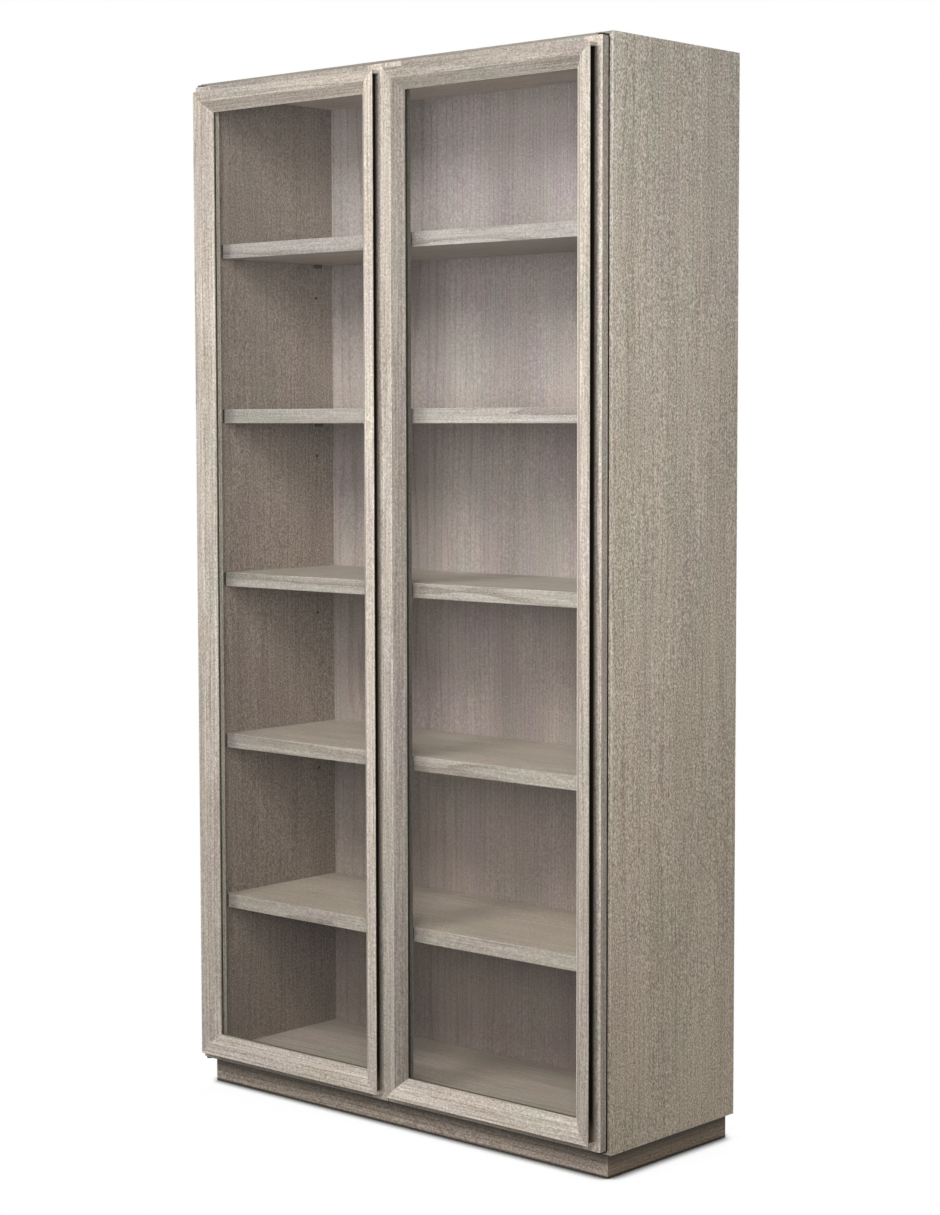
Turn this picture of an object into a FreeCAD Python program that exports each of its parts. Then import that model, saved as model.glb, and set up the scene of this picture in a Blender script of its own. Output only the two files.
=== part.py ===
"""Tall glass-door bookcase with adjustable shelves, as a parametric FreeCAD document.

A mitred, veneered case stands on a recessed plinth. Two framed glass doors hang side by side
in front of it on pivot brackets. Millimetres, +Z up, the front faces -Y, and the origin lies on
the floor under the middle of the whole outline.
"""

import FreeCAD, Part
import os
import re

import Sketcher

# The driving dimensions: name, value, meaning. Each is set by itself.
SIZES = [
    ("case_width", 1190, "outside width of the case"),
    ("case_height", 2286, "floor to the top of the case"),
    ("case_depth", 420, "front edge to back edge of the case"),
    ("panel_thickness", 25, "sides, top and floor panel"),
    ("case_arris", 1.2, "rounding of the case's outside edges"),
    ("tongue_thickness", 4, "loose tongue across a case mitre"),
    ("tongue_width", 16, "loose tongue, across the mitre"),
    ("tongue_stop", 32, "mitre left solid in front of and behind a tongue"),
    ("tongue_gap", 0.1, "play of a tongue in its slot"),
    ("back_thickness", 12, "back panel"),
    ("back_recess", 16, "back panel's rear face to the case's rear edge"),
    ("back_rebate", 12, "how far the back panel sits in the case panels"),
    ("back_gap", 0.5, "play round the back panel"),
    ("plinth_height", 52, "floor to the underside of the case"),
    ("plinth_thickness", 19, "plinth boards"),
    ("plinth_front", 9, "plinth's setback at the front"),
    ("plinth_side", 14, "plinth's setback at each side"),
    ("plinth_back", 10, "plinth's setback at the back"),
    ("block_size", 42, "plinth corner block, each way"),
    ("block_chamfer", 14, "corner taken off a plinth corner block"),
    ("block_lift", 6, "corner block's clearance over the floor"),
    ("shelf_count", 5, "loose shelves"),
    ("shelf_thickness", 32, "loose shelf"),
    ("shelf_setback", 35, "shelf's front edge behind the case's front edge"),
    ("shelf_end_gap", 1, "play at each end of a shelf"),
    ("shelf_back_gap", 2, "play between shelf and back panel"),
    ("first_shelf", 405, "floor to the underside of the lowest shelf"),
    ("top_bay", 334, "clear height over the highest shelf"),
    ("shelf_arris", 1.5, "rounding of a shelf's front edges"),
    ("row_inset", 52, "pin row to the shelf's front or back edge"),
    ("pin_hole_radius", 2.5, "shelf pin hole"),
    ("pin_hole_depth", 12, "shelf pin hole"),
    ("pin_hole_step", 75, "from a hole in use to the spare one above it"),
    ("holes_per_shelf", 2, "holes that a shelf can be set to, in each row"),
    ("pin_play", 0.1, "play of a shelf peg in its hole"),
    ("pin_insert", 10, "length of a shelf peg in its hole"),
    ("pin_drop", 3.5, "shelf peg's axis below the shelf"),
    ("support_length", 12, "shelf support, out from the side"),
    ("support_width", 17, "shelf support, front to back"),
    ("support_height", 9, "shelf support"),
    ("support_chamfer", 2.5, "lower edges of a shelf support"),
    ("reveal_side", 8, "case edge left showing beside a door"),
    ("reveal_top", 10, "case edge left showing over the doors"),
    ("reveal_bottom", 10, "case edge left showing under the doors"),
    ("meeting_gap", 3, "gap between the doors"),
    ("stand_off", 4.5, "gap between the doors and the case's front edge"),
    ("frame_thickness", 18, "carrying frame of a door"),
    ("face_step", 14, "carrying frame showing round the face frame"),
    ("face_thickness", 23, "face frame of a door"),
    ("face_width", 46, "face frame member"),
    ("face_flat", 23, "flat part of a face frame member"),
    ("bevel_depth", 20, "how far the face frame's bevel falls back"),
    ("face_arris", 1.2, "chamfer of the face frame's outer front edge"),
    ("mitre_waste", 5, "how far a mitre's saw line runs past the member"),
    ("groove_depth", 14, "finger groove, into the stile"),
    ("groove_lip", 3, "face left in front of the finger groove"),
    ("groove_stop", 6.5, "solid end above and below the finger groove"),
    ("tenon_thickness", 6, "tenon of a frame rail"),
    ("tenon_length", 30, "tenon of a frame rail"),
    ("tenon_height", 38, "tenon of a frame rail"),
    ("tenon_shoulder", 11, "door's end to the tenon"),
    ("tenon_gap", 0.2, "play round a tenon in its mortise"),
    ("sight_step", 3, "face frame standing past the carrying frame, round the opening"),
    ("glass_thickness", 4, "door glass"),
    ("glass_rebate", 10, "rebate of the carrying frame round the opening"),
    ("gasket_wall", 1, "gasket in front of, behind and around the glass"),
    ("gasket_sight", 1.5, "gasket showing inside the frame"),
    ("gasket_gap", 0.5, "play between the gasket and the rebate"),
    ("pivot_inset", 8.5, "pivot axis from the door's outer edge"),
    ("bush_cover", 3, "wood left in front of a pivot bush"),
    ("pin_radius", 3, "pivot pin"),
    ("pin_length", 10.5, "pivot pin, into the door"),
    ("pivot_clearance", 0.05, "running clearance of a pivot pin, radial"),
    ("bracket_gap", 1.5, "pivot bracket to the door's end"),
    ("bracket_thickness", 2.5, "pivot bracket plate"),
    ("bracket_width", 14, "pivot bracket plate"),
    ("bracket_leg", 36, "bracket's leg past the door's end"),
    ("bracket_play", 0.2, "play round the bracket's leg in its recess"),
    ("bush_wall", 1.45, "wall of a pivot bush"),
    ("bush_length", 12, "pivot bush, into the door"),
    ("bush_flange", 6.5, "radius of a pivot bush's flange"),
    ("bush_flange_thickness", 1.2, "flange of a pivot bush"),
    ("bush_play", 0.02, "play of a bush in its hole"),
    ("strike_width", 20, "magnetic catch plate on the door"),
    ("strike_height", 12, "magnetic catch plate on the door"),
    ("strike_thickness", 1.5, "magnetic catch plate on the door"),
    ("strike_inset", 3, "catch plate to the door's meeting edge"),
    ("catch_width", 50, "magnetic catch"),
    ("catch_depth", 18, "magnetic catch"),
    ("catch_height", 13, "magnetic catch"),
    ("rest_gap", 0.3, "air between a door and what it closes on"),
    ("bumper_size", 9, "felt door bumper, each way"),
    ("bumper_inset", 45, "door bumper to the meeting edge"),
]

# Sizes that follow from the driving ones: name, formula.
PLACES = [
    ("inner_half", "case_width / 2 - panel_thickness"),
    ("floor_top", "plinth_height + panel_thickness"),
    ("ceiling", "case_height - panel_thickness"),
    ("back_front", "case_depth - back_recess - back_thickness"),
    ("back_half", "inner_half + back_rebate - back_gap"),
    ("back_bottom", "floor_top - back_rebate + back_gap"),
    ("back_height", "ceiling + back_rebate - back_gap - back_bottom"),
    ("tongue_length", "back_front - 2 * tongue_stop"),
    ("shelf_spacing", "(ceiling - top_bay - shelf_thickness - first_shelf) / (shelf_count - 1)"),
    ("shelf_depth", "back_front - shelf_back_gap - shelf_setback"),
    ("row_front", "shelf_setback + row_inset"),
    ("row_spread", "shelf_depth - 2 * row_inset"),
    ("case_front", "(stand_off + frame_thickness + face_thickness - case_depth) / 2"),
    ("door_rear", "case_front - stand_off"),
    ("door_width", "case_width / 2 - reveal_side - meeting_gap / 2"),
    ("door_half", "door_width / 2"),
    ("door_centre", "(meeting_gap + door_width) / 2"),
    ("door_bottom", "plinth_height + reveal_bottom"),
    ("door_height", "case_height - reveal_top - door_bottom"),
    ("face_half", "door_half - face_step"),
    ("frame_width", "face_step + face_width - sight_step"),
    ("sight_half", "door_half - frame_width"),
    ("rebate_half", "sight_half + glass_rebate"),
    ("rebate_depth", "glass_thickness + 2 * gasket_wall"),
    ("web_thickness", "frame_thickness - rebate_depth"),
    ("gasket_overlap", "glass_rebate - gasket_gap"),
    ("glass_overlap", "gasket_overlap - gasket_wall"),
    ("pivot_x", "case_width / 2 - reveal_side - pivot_inset"),
    ("bush_radius", "pin_radius + pivot_clearance + bush_wall"),
    ("pivot_setback", "frame_thickness - bush_cover - bush_radius"),
    ("pivot_y", "door_rear - pivot_setback"),
    ("pivot_to_case", "pivot_setback + stand_off"),
    ("catch_face", "strike_thickness + rest_gap"),
    ("bumper_length", "stand_off - rest_gap"),
]

# Each origin plane's normal, as a sign along its world axis.
NORMAL = {"XY_Plane": 1, "XZ_Plane": -1, "YZ_Plane": 1}

SIDES = ((-1, "left"), (1, "right"))
LEVELS = ((-1, "lower"), (1, "upper"))
EDGE_NAMES = dict(SIDES)
LEVEL_NAMES = dict(LEVELS)

TOUCH = 1e-4
LEAST_CUT = 1e-3

doc = FreeCAD.newDocument("Bookcase")
sheets = {}
owner = {}
nodes = []


def bound(expression):
    """The expression with each size's name led by the sheet that holds it."""
    return re.sub(r"[a-z_]+", lambda word: owner.get(word[0], "") + word[0], expression)


def fill_sheet(name, rows):
    """A spreadsheet with one row per size: meaning, content, alias."""
    sheet = doc.addObject("Spreadsheet::Sheet", name)
    sheets[name] = sheet
    for row, (alias, content, note) in enumerate(rows, start=1):
        sheet.set(f"A{row}", note)
        sheet.set(f"B{row}", str(content))
        sheet.setAlias(f"B{row}", alias)
    doc.recompute()
    owner.update({alias: f"{name}." for alias, _, _ in rows})


def value(expression):
    """The expression's present value as a plain number."""
    return float(sheets["Sizes"].evalExpression(bound(expression)))


def add(label):
    """A new body whose label names its file."""
    body = doc.addObject("PartDesign::Body", label)
    body.Label = label
    nodes.append(body)
    return body


def place(body, x="0", y="0", z="0"):
    for axis, expression in zip("xyz", (x, y, z)):
        body.setExpression(f"Placement.Base.{axis}", bound(expression))


def origin_part(body, role):
    """One of the body's own origin planes or axes."""
    return next(part for part in body.Origin.OriginFeatures if part.Role == role)


def new_sketch(body, name, plane, offset):
    """An empty sketch on one of the body's planes, moved by offset in the sketch's own frame."""
    sketch = body.newObject("Sketcher::SketchObject", name)
    sketch.AttachmentSupport = [(origin_part(body, plane), "")]
    sketch.MapMode = "FlatFace"
    for axis, expression in zip("xyz", offset):
        sketch.setExpression(f"AttachmentOffset.Base.{axis}", bound(expression))
    return sketch


def tie(sketch, kind, geometry, point, expression):
    """Holds one coordinate of a sketch point at the value of an expression."""
    rule = Sketcher.Constraint(kind, -1, 1, geometry, point, value(expression))
    number = sketch.addConstraint(rule)
    sketch.setExpression(f"Constraints[{number}]", bound(expression))


def outline(body, name, plane, offset, corners):
    """A closed outline with straight sides and every corner tied to the sizes."""
    sketch = new_sketch(body, name, plane, offset)
    points = [FreeCAD.Vector(value(u), value(v), 0) for u, v in corners]
    for start, end in zip(points, points[1:] + points[:1]):
        sketch.addGeometry(Part.LineSegment(start, end), False)
    for number, (u, v) in enumerate(corners):
        following = (number + 1) % len(corners)
        sketch.addConstraint(Sketcher.Constraint("Coincident", number, 2, following, 1))
        tie(sketch, "DistanceX", number, 1, u)
        tie(sketch, "DistanceY", number, 1, v)
    return sketch


def level_at(plane, at):
    """The offset that lifts a sketch off its plane to a coordinate of the body."""
    return ("0", "0", f"{NORMAL[plane]} * ({at})")


def flat(body, name, plane, at, corners):
    return outline(body, name, plane, level_at(plane, at), corners)


def disc(body, name, plane, at, u, v, radius):
    sketch = new_sketch(body, name, plane, level_at(plane, at))
    centre = FreeCAD.Vector(value(u), value(v), 0)
    sketch.addGeometry(Part.Circle(centre, FreeCAD.Vector(0, 0, 1), value(radius)), False)
    tie(sketch, "DistanceX", 0, 3, u)
    tie(sketch, "DistanceY", 0, 3, v)
    number = sketch.addConstraint(Sketcher.Constraint("Radius", 0, value(radius)))
    sketch.setExpression(f"Constraints[{number}]", bound(radius))
    return sketch


def box(left, right, low, high):
    """The corners of an upright rectangle."""
    return [(left, low), (right, low), (right, high), (left, high)]


def octagon(reach, u, v):
    """Eight corners, all at the same distance from (u, v)."""
    angles = [22.5 + 45 * number for number in range(8)]
    return [(f"{u} + {reach} * cos({angle})", f"{v} + {reach} * sin({angle})") for angle in angles]


def normal_sign(sketch):
    return NORMAL[sketch.AttachmentSupport[0][0].Role]


def pad(body, name, sketch, length, toward):
    """Material from the sketch to one side: toward is the sign along the world axis."""
    feature = body.newObject("PartDesign::Pad", name)
    feature.Profile = sketch
    feature.setExpression("Length", bound(length))
    feature.Reversed = toward != normal_sign(sketch)
    doc.recompute()
    return feature


def check_cut(body, name, before):
    doc.recompute()
    if body.Shape.Volume > before - LEAST_CUT:
        raise ValueError(f"{body.Label}: {name} cuts nothing")


def pocket(body, name, sketch, depth, toward):
    """A cut from the sketch to one side, checked to take material away."""
    before = body.Shape.Volume
    feature = body.newObject("PartDesign::Pocket", name)
    feature.Profile = sketch
    feature.setExpression("Length", bound(depth))
    feature.Reversed = toward == normal_sign(sketch)
    check_cut(body, name, before)
    return feature


def turned(body, name, axis, centre, profile, cut=False):
    """A turned form about the X or Z line through centre. The profile is (along, radius)."""
    x, y, z = centre
    if axis == "Z":
        profile = [(radius, along) for along, radius in profile]
    sketch = outline(body, f"{name}_profile", "XZ_Plane", (x, z, f"-({y})"), profile)
    before = body.Shape.Volume if cut else 0
    feature = body.newObject("PartDesign::Groove" if cut else "PartDesign::Revolution", name)
    feature.Profile = sketch
    feature.ReferenceAxis = (sketch, ["V_Axis" if axis == "Z" else "H_Axis"])
    feature.Angle = 360
    if cut:
        check_cut(body, name, before)
    doc.recompute()
    return feature


def repeat(body, name, features, steps):
    """Copies of features: each step is (axis, spacing, count), or (plane,) for a mirror."""
    grid = body.newObject("PartDesign::MultiTransform", name)
    grid.Originals = features
    moves = []
    for number, step in enumerate(steps, start=1):
        if len(step) == 1:
            move = body.newObject("PartDesign::Mirrored", f"{name}_{number}")
            move.MirrorPlane = (origin_part(body, step[0]), [""])
        else:
            axis, spacing, count = step
            move = body.newObject("PartDesign::LinearPattern", f"{name}_{number}")
            move.Direction = (origin_part(body, f"{axis}_Axis"), [""])
            move.setExpression("Length", bound(f"({spacing}) * (({count}) - 1)"))
            move.setExpression("Occurrences", bound(count))
        moves.append(move)
    grid.Transformations = moves
    body.Tip = grid
    doc.recompute()


def lies_on(edge, where):
    """Whether an edge keeps to every coordinate named in where."""
    reach = edge.BoundBox
    ends = {"x": (reach.XMin, reach.XMax), "y": (reach.YMin, reach.YMax), "z": (reach.ZMin, reach.ZMax)}
    return all(abs(end - value(at)) < TOUCH for axis, at in where.items() for end in ends[axis])


def round_edges(body, name, radius, lines):
    """Fillets the edges of the body's last feature that lie on any of the given lines."""
    base = body.Tip
    chosen = [
        f"Edge{number}"
        for number, edge in enumerate(base.Shape.Edges, start=1)
        if any(lies_on(edge, line) for line in lines)
    ]
    if not chosen:
        raise ValueError(f"{body.Label}: {name} finds no edge")
    feature = body.newObject("PartDesign::Fillet", name)
    feature.Base = (base, chosen)
    feature.setExpression("Radius", bound(radius))
    doc.recompute()
    return feature


# The case. Its panels share one frame: x from the middle, y from the case's front edge, z from
# the floor. side is -1 on the left and 1 on the right, level is -1 at the floor and 1 at the top.


def outer_level(level):
    return "case_height" if level > 0 else "plinth_height"


def inner_level(level):
    return "ceiling" if level > 0 else "floor_top"


def door_end(level):
    return "(door_bottom + door_height)" if level > 0 else "door_bottom"


def tongue_outline(side, level, play):
    """The loose tongue's section, square across a case mitre."""
    half_width = f"(tongue_width / 2 + {play})"
    half_thickness = f"(tongue_thickness / 2 + {play})"
    middle = f"({outer_level(level)} - {level} * panel_thickness / 2)"
    corners = []
    for along, across in ((1, 1), (1, -1), (-1, -1), (-1, 1)):
        out = f"({along} * {half_width} + {across} * {half_thickness}) / sqrt(2)"
        up = f"({-along} * {half_width} + {across} * {half_thickness}) / sqrt(2)"
        x = f"{side} * (case_width / 2 - panel_thickness / 2 + {out})"
        corners.append((x, f"{middle} + {level} * {up}"))
    return corners


def cut_tongue_slot(body, name, side, level):
    section = tongue_outline(side, level, "tongue_gap")
    slot = flat(body, f"{name}_outline", "XZ_Plane", "tongue_stop", section)
    pocket(body, name, slot, "tongue_length", 1)


def cut_back_rebate(body):
    half = "(inner_half + back_rebate)"
    bay = box(f"-{half}", half, "floor_top - back_rebate", "ceiling + back_rebate")
    sketch = flat(body, "back_rebate_outline", "XZ_Plane", "case_depth", bay)
    pocket(body, "back_rebate", sketch, "back_recess + back_thickness", -1)


def cut_bracket_recess(body, name, side, level):
    """The shallow recess in the case's front edge that takes a pivot bracket's leg."""
    half = "(bracket_width / 2 + bracket_play)"
    recess = box(
        f"{side} * pivot_x - {half}",
        f"{side} * pivot_x + {half}",
        f"{door_end(level)} + {level} * (bracket_gap + bracket_thickness + bracket_play)",
        f"{door_end(level)} - {level} * (bracket_leg + bracket_play)",
    )
    sketch = flat(body, f"{name}_outline", "XZ_Plane", "0", recess)
    pocket(body, name, sketch, "bracket_thickness", 1)


def side_panel(label, side):
    body = add(label)
    place(body, y="case_front")
    outer = f"{side} * case_width / 2"
    inner = f"{side} * inner_half"
    section = [(outer, "plinth_height"), (inner, "floor_top"), (inner, "ceiling"), (outer, "case_height")]
    pad(body, "board", flat(body, "board_outline", "XZ_Plane", "0", section), "case_depth", 1)
    edges = [{"x": outer, "y": "0"}, {"x": outer, "y": "case_depth"}]
    round_edges(body, "arrises", "case_arris", edges)
    cut_back_rebate(body)
    for level, end in LEVELS:
        cut_tongue_slot(body, f"{end}_tongue_slot", side, level)
        cut_bracket_recess(body, f"{end}_bracket_recess", side, level)
    lowest = "first_shelf - pin_drop"
    depth = f"{side} * pin_hole_depth"
    bore = [("0", "0"), (depth, "0"), (depth, "pin_hole_radius"), ("0", "pin_hole_radius")]
    hole = turned(body, "pin_hole", "X", (inner, "row_front", lowest), bore, cut=True)
    steps = [
        ("Z", "pin_hole_step", "holes_per_shelf"),
        ("Z", "shelf_spacing", "shelf_count"),
        ("Y", "row_spread", "2"),
    ]
    repeat(body, "pin_holes", [hole], steps)


def level_panel(label, level):
    body = add(label)
    place(body, y="case_front")
    outer = outer_level(level)
    inner = inner_level(level)
    section = [
        ("-case_width / 2", outer),
        ("case_width / 2", outer),
        ("inner_half", inner),
        ("-inner_half", inner),
    ]
    pad(body, "board", flat(body, "board_outline", "XZ_Plane", "0", section), "case_depth", 1)
    round_edges(body, "arrises", "case_arris", [{"z": outer, "y": "0"}, {"z": outer, "y": "case_depth"}])
    cut_back_rebate(body)
    for side, end in SIDES:
        cut_tongue_slot(body, f"{end}_tongue_slot", side, level)
        cut_bracket_recess(body, f"{end}_bracket_recess", side, level)


def mitre_tongues():
    body = add("mitre_tongues")
    place(body, y="case_front")
    for side, hand in SIDES:
        for level, end in LEVELS:
            name = f"{end}_{hand}_tongue"
            section = tongue_outline(side, level, "0")
            sketch = flat(body, f"{name}_outline", "XZ_Plane", "tongue_stop", section)
            pad(body, name, sketch, "tongue_length", 1)


def back_panel():
    body = add("back_panel")
    place(body, y="case_front")
    corners = box("-back_half", "back_half", "back_bottom", "back_bottom + back_height")
    pad(body, "board", flat(body, "board_outline", "XZ_Plane", "back_front", corners), "back_thickness", 1)


def plinth():
    """Four boards mitred at the corners, with a glue block in each corner."""
    half = "(case_width / 2 - plinth_side)"
    front = "plinth_front"
    rear = "(case_depth - plinth_back)"
    inner_half = f"({half} - plinth_thickness)"
    inner_front = f"({front} + plinth_thickness)"
    inner_rear = f"({rear} - plinth_thickness)"
    boards = {
        "plinth_front_board": [
            (f"-{half}", front), (half, front), (inner_half, inner_front), (f"-{inner_half}", inner_front),
        ],
        "plinth_back_board": [
            (f"-{half}", rear), (half, rear), (inner_half, inner_rear), (f"-{inner_half}", inner_rear),
        ],
    }
    for side, hand in SIDES:
        boards[f"plinth_{hand}_board"] = [
            (f"{side} * {half}", front), (f"{side} * {half}", rear),
            (f"{side} * {inner_half}", inner_rear), (f"{side} * {inner_half}", inner_front),
        ]
    for label, corners in boards.items():
        body = add(label)
        place(body, y="case_front")
        pad(body, "board", flat(body, "board_outline", "XY_Plane", "0", corners), "plinth_height", 1)
    body = add("plinth_corner_blocks")
    place(body, y="case_front")
    for side, hand in SIDES:
        for corner_y, inward, end in ((inner_front, 1, "front"), (inner_rear, -1, "back")):
            x = f"{side} * {inner_half}"
            far_x = f"{side} * ({inner_half} - block_size)"
            near_x = f"{side} * ({inner_half} - block_size + block_chamfer)"
            far_y = f"{corner_y} + {inward} * block_size"
            near_y = f"{corner_y} + {inward} * (block_size - block_chamfer)"
            corners = [(x, corner_y), (far_x, corner_y), (far_x, near_y), (near_x, far_y), (x, far_y)]
            name = f"{hand}_{end}_block"
            sketch = flat(body, f"{name}_outline", "XY_Plane", "block_lift", corners)
            pad(body, name, sketch, "plinth_height - block_lift", 1)


def shelf(number):
    """A loose shelf, and the four supports it rests on."""
    height = f"first_shelf + {number - 1} * shelf_spacing"
    board = add(f"shelf_{number}")
    place(board, y="case_front + shelf_setback", z=height)
    half = "(inner_half - shelf_end_gap)"
    corners = box(f"-{half}", half, "0", "shelf_depth")
    pad(board, "board", flat(board, "board_outline", "XY_Plane", "0", corners), "shelf_thickness", 1)
    round_edges(board, "arrises", "shelf_arris", [{"y": "0", "z": "0"}, {"y": "0", "z": "shelf_thickness"}])

    supports = add(f"shelf_{number}_supports")
    place(supports, y="case_front + row_front", z=height)
    half = "support_width / 2"
    chamfered = "(support_width / 2 - support_chamfer)"
    section = [
        (f"-{half}", "0"),
        (half, "0"),
        (half, "support_chamfer - support_height"),
        (chamfered, "-support_height"),
        (f"-{chamfered}", "-support_height"),
        (f"-{half}", "support_chamfer - support_height"),
    ]
    sketch = flat(supports, "head_outline", "YZ_Plane", "inner_half - support_length", section)
    head = pad(supports, "head", sketch, "support_length", 1)
    section = octagon("(pin_hole_radius - pin_play)", "0", "-pin_drop")
    sketch = flat(supports, "peg_outline", "YZ_Plane", "inner_half", section)
    peg = pad(supports, "peg", sketch, "pin_insert", 1)
    steps = [("YZ_Plane",), ("Y", "row_spread", "2")]
    repeat(supports, "four_supports", [head, peg], steps)


# The doors. A door's frame: x from its middle, y from its rear face, z from its lower end.
# hand is -1 for the left door and 1 for the right, edge is the same for a door's two edges.


def place_door_part(body, hand):
    place(body, x=f"{hand} * door_centre", y="door_rear", z="door_bottom")


def from_end(level, distance):
    """A height in the door, measured from its lower or upper end."""
    return f"(door_height - ({distance}))" if level > 0 else f"({distance})"


def frame_stile(label, hand, edge):
    """Full-height member of the carrying frame, rebated for the glass and mortised for the rails."""
    body = add(label)
    place_door_part(body, hand)
    outer = f"{edge} * door_half"
    inner = f"{edge} * sight_half"
    section = [
        (outer, "0"),
        (inner, "0"),
        (inner, "-web_thickness"),
        (f"{edge} * rebate_half", "-web_thickness"),
        (f"{edge} * rebate_half", "-frame_thickness"),
        (outer, "-frame_thickness"),
    ]
    pad(body, "bar", flat(body, "bar_outline", "XY_Plane", "0", section), "door_height", 1)
    for level, end in LEVELS:
        mortise = box(
            "-(web_thickness + tenon_thickness) / 2 - tenon_gap",
            "-(web_thickness - tenon_thickness) / 2 + tenon_gap",
            from_end(level, "tenon_shoulder - tenon_gap"),
            from_end(level, "tenon_shoulder + tenon_height + tenon_gap"),
        )
        sketch = flat(body, f"{end}_mortise_outline", "YZ_Plane", inner, mortise)
        pocket(body, f"{end}_mortise", sketch, "tenon_length + tenon_gap", edge)
    if edge == hand:
        axis_x = f"{edge} * (door_half - pivot_inset)"
        radius = "bush_radius + bush_play"
        for level, end in LEVELS:
            depth = f"{-level} * bush_length"
            bore = [("0", "0"), (depth, "0"), (depth, radius), ("0", radius)]
            centre = (axis_x, "-pivot_setback", from_end(level, "0"))
            turned(body, f"{end}_bush_hole", "Z", centre, bore, cut=True)


def frame_rail(label, hand, level):
    """Cross member of the carrying frame: long front shoulder, short rear shoulder and tenons."""
    body = add(label)
    place_door_part(body, hand)
    layers = [
        ("rear_layer", "sight_half", "0", "frame_width", "0", "web_thickness"),
        ("front_layer", "rebate_half", "0", "frame_width - glass_rebate", "web_thickness", "rebate_depth"),
        (
            "tenons", "(sight_half + tenon_length)", "tenon_shoulder", "tenon_shoulder + tenon_height",
            "(web_thickness - tenon_thickness) / 2", "tenon_thickness",
        ),
    ]
    for name, half, low, high, front, thickness in layers:
        corners = box(f"-{half}", half, from_end(level, low), from_end(level, high))
        sketch = flat(body, f"{name}_outline", "XZ_Plane", f"-({front})", corners)
        pad(body, name, sketch, thickness, -1)


def cut_mitre(body, edge, level, from_stile):
    """Takes the waste off one end of a face frame member, along the line through the corner."""
    corner_x = f"{edge} * face_half"
    corner_z = from_end(level, "face_step")
    far_x = f"{edge} * (face_half - face_width - mitre_waste)"
    far_z = from_end(level, "face_step + face_width + mitre_waste")
    near_x = f"{edge} * (face_half + mitre_waste)"
    near_z = from_end(level, "face_step - mitre_waste")
    third = (far_x, near_z) if from_stile else (near_x, far_z)
    corners = [(near_x, near_z), (far_x, far_z), third]
    name = f"mitre_{EDGE_NAMES[edge]}_{LEVEL_NAMES[level]}"
    sketch = flat(body, f"{name}_outline", "XZ_Plane", "-frame_thickness", corners)
    pocket(body, name, sketch, "face_thickness", -1)


def cut_finger_groove(body, edge):
    """The stopped groove behind the face's outer edge, routed through stile and rail ends alike."""
    groove = box(
        "-frame_thickness - (face_thickness - groove_lip)",
        "-frame_thickness",
        from_end(-1, "face_step + groove_stop"),
        from_end(1, "face_step + groove_stop"),
    )
    name = f"finger_groove_{EDGE_NAMES[edge]}"
    sketch = flat(body, f"{name}_outline", "YZ_Plane", f"{edge} * face_half", groove)
    pocket(body, name, sketch, "groove_depth", -edge)


def face_section(distance):
    """The moulding's section: eased edge, flat, bevel and thin inner edge."""
    front = "-(frame_thickness + face_thickness)"
    return [
        (distance("0"), "-frame_thickness"),
        (distance("face_width"), "-frame_thickness"),
        (distance("face_width"), f"{front} + bevel_depth"),
        (distance("face_flat"), front),
        (distance("face_arris"), front),
        (distance("0"), f"{front} + face_arris"),
    ]


def face_stile(label, hand, edge):
    body = add(label)
    place_door_part(body, hand)
    section = face_section(lambda width: f"{edge} * (face_half - {width})")
    sketch = flat(body, "moulding_outline", "XY_Plane", "face_step", section)
    pad(body, "moulding", sketch, "door_height - 2 * face_step", 1)
    for level, _ in LEVELS:
        cut_mitre(body, edge, level, from_stile=True)
    cut_finger_groove(body, edge)


def face_rail(label, hand, level):
    body = add(label)
    place_door_part(body, hand)
    section = [(y, z) for z, y in face_section(lambda width: from_end(level, f"face_step + {width}"))]
    sketch = flat(body, "moulding_outline", "YZ_Plane", "-face_half", section)
    pad(body, "moulding", sketch, "2 * face_half", 1)
    for edge in (-1, 1):
        cut_mitre(body, edge, level, from_stile=False)
        cut_finger_groove(body, edge)


def ring_corners(half, inset):
    """A rectangle round the door's opening, inset from the carrying frame's outside."""
    return box(f"-({half})", half, inset, f"door_height - ({inset})")


def door_glass(label, hand):
    body = add(label)
    place_door_part(body, hand)
    corners = ring_corners("sight_half + glass_overlap", "frame_width - glass_overlap")
    sketch = flat(body, "pane_outline", "XZ_Plane", "-(web_thickness + gasket_wall)", corners)
    pad(body, "pane", sketch, "glass_thickness", -1)


def door_gasket(label, hand):
    """A channel gasket round the glass: a ring with the pane's own shape cut out of it."""
    body = add(label)
    place_door_part(body, hand)
    outside = ring_corners("sight_half + gasket_overlap", "frame_width - gasket_overlap")
    sketch = flat(body, "ring_outline", "XZ_Plane", "-web_thickness", outside)
    pad(body, "ring", sketch, "rebate_depth", -1)
    opening = ring_corners("sight_half - gasket_sight", "frame_width + gasket_sight")
    sketch = flat(body, "opening_outline", "XZ_Plane", "-web_thickness", opening)
    pocket(body, "opening", sketch, "rebate_depth", -1)
    pane = ring_corners("sight_half + glass_overlap", "frame_width - glass_overlap")
    sketch = flat(body, "channel_outline", "XZ_Plane", "-(web_thickness + gasket_wall)", pane)
    pocket(body, "channel", sketch, "glass_thickness", -1)


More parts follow.
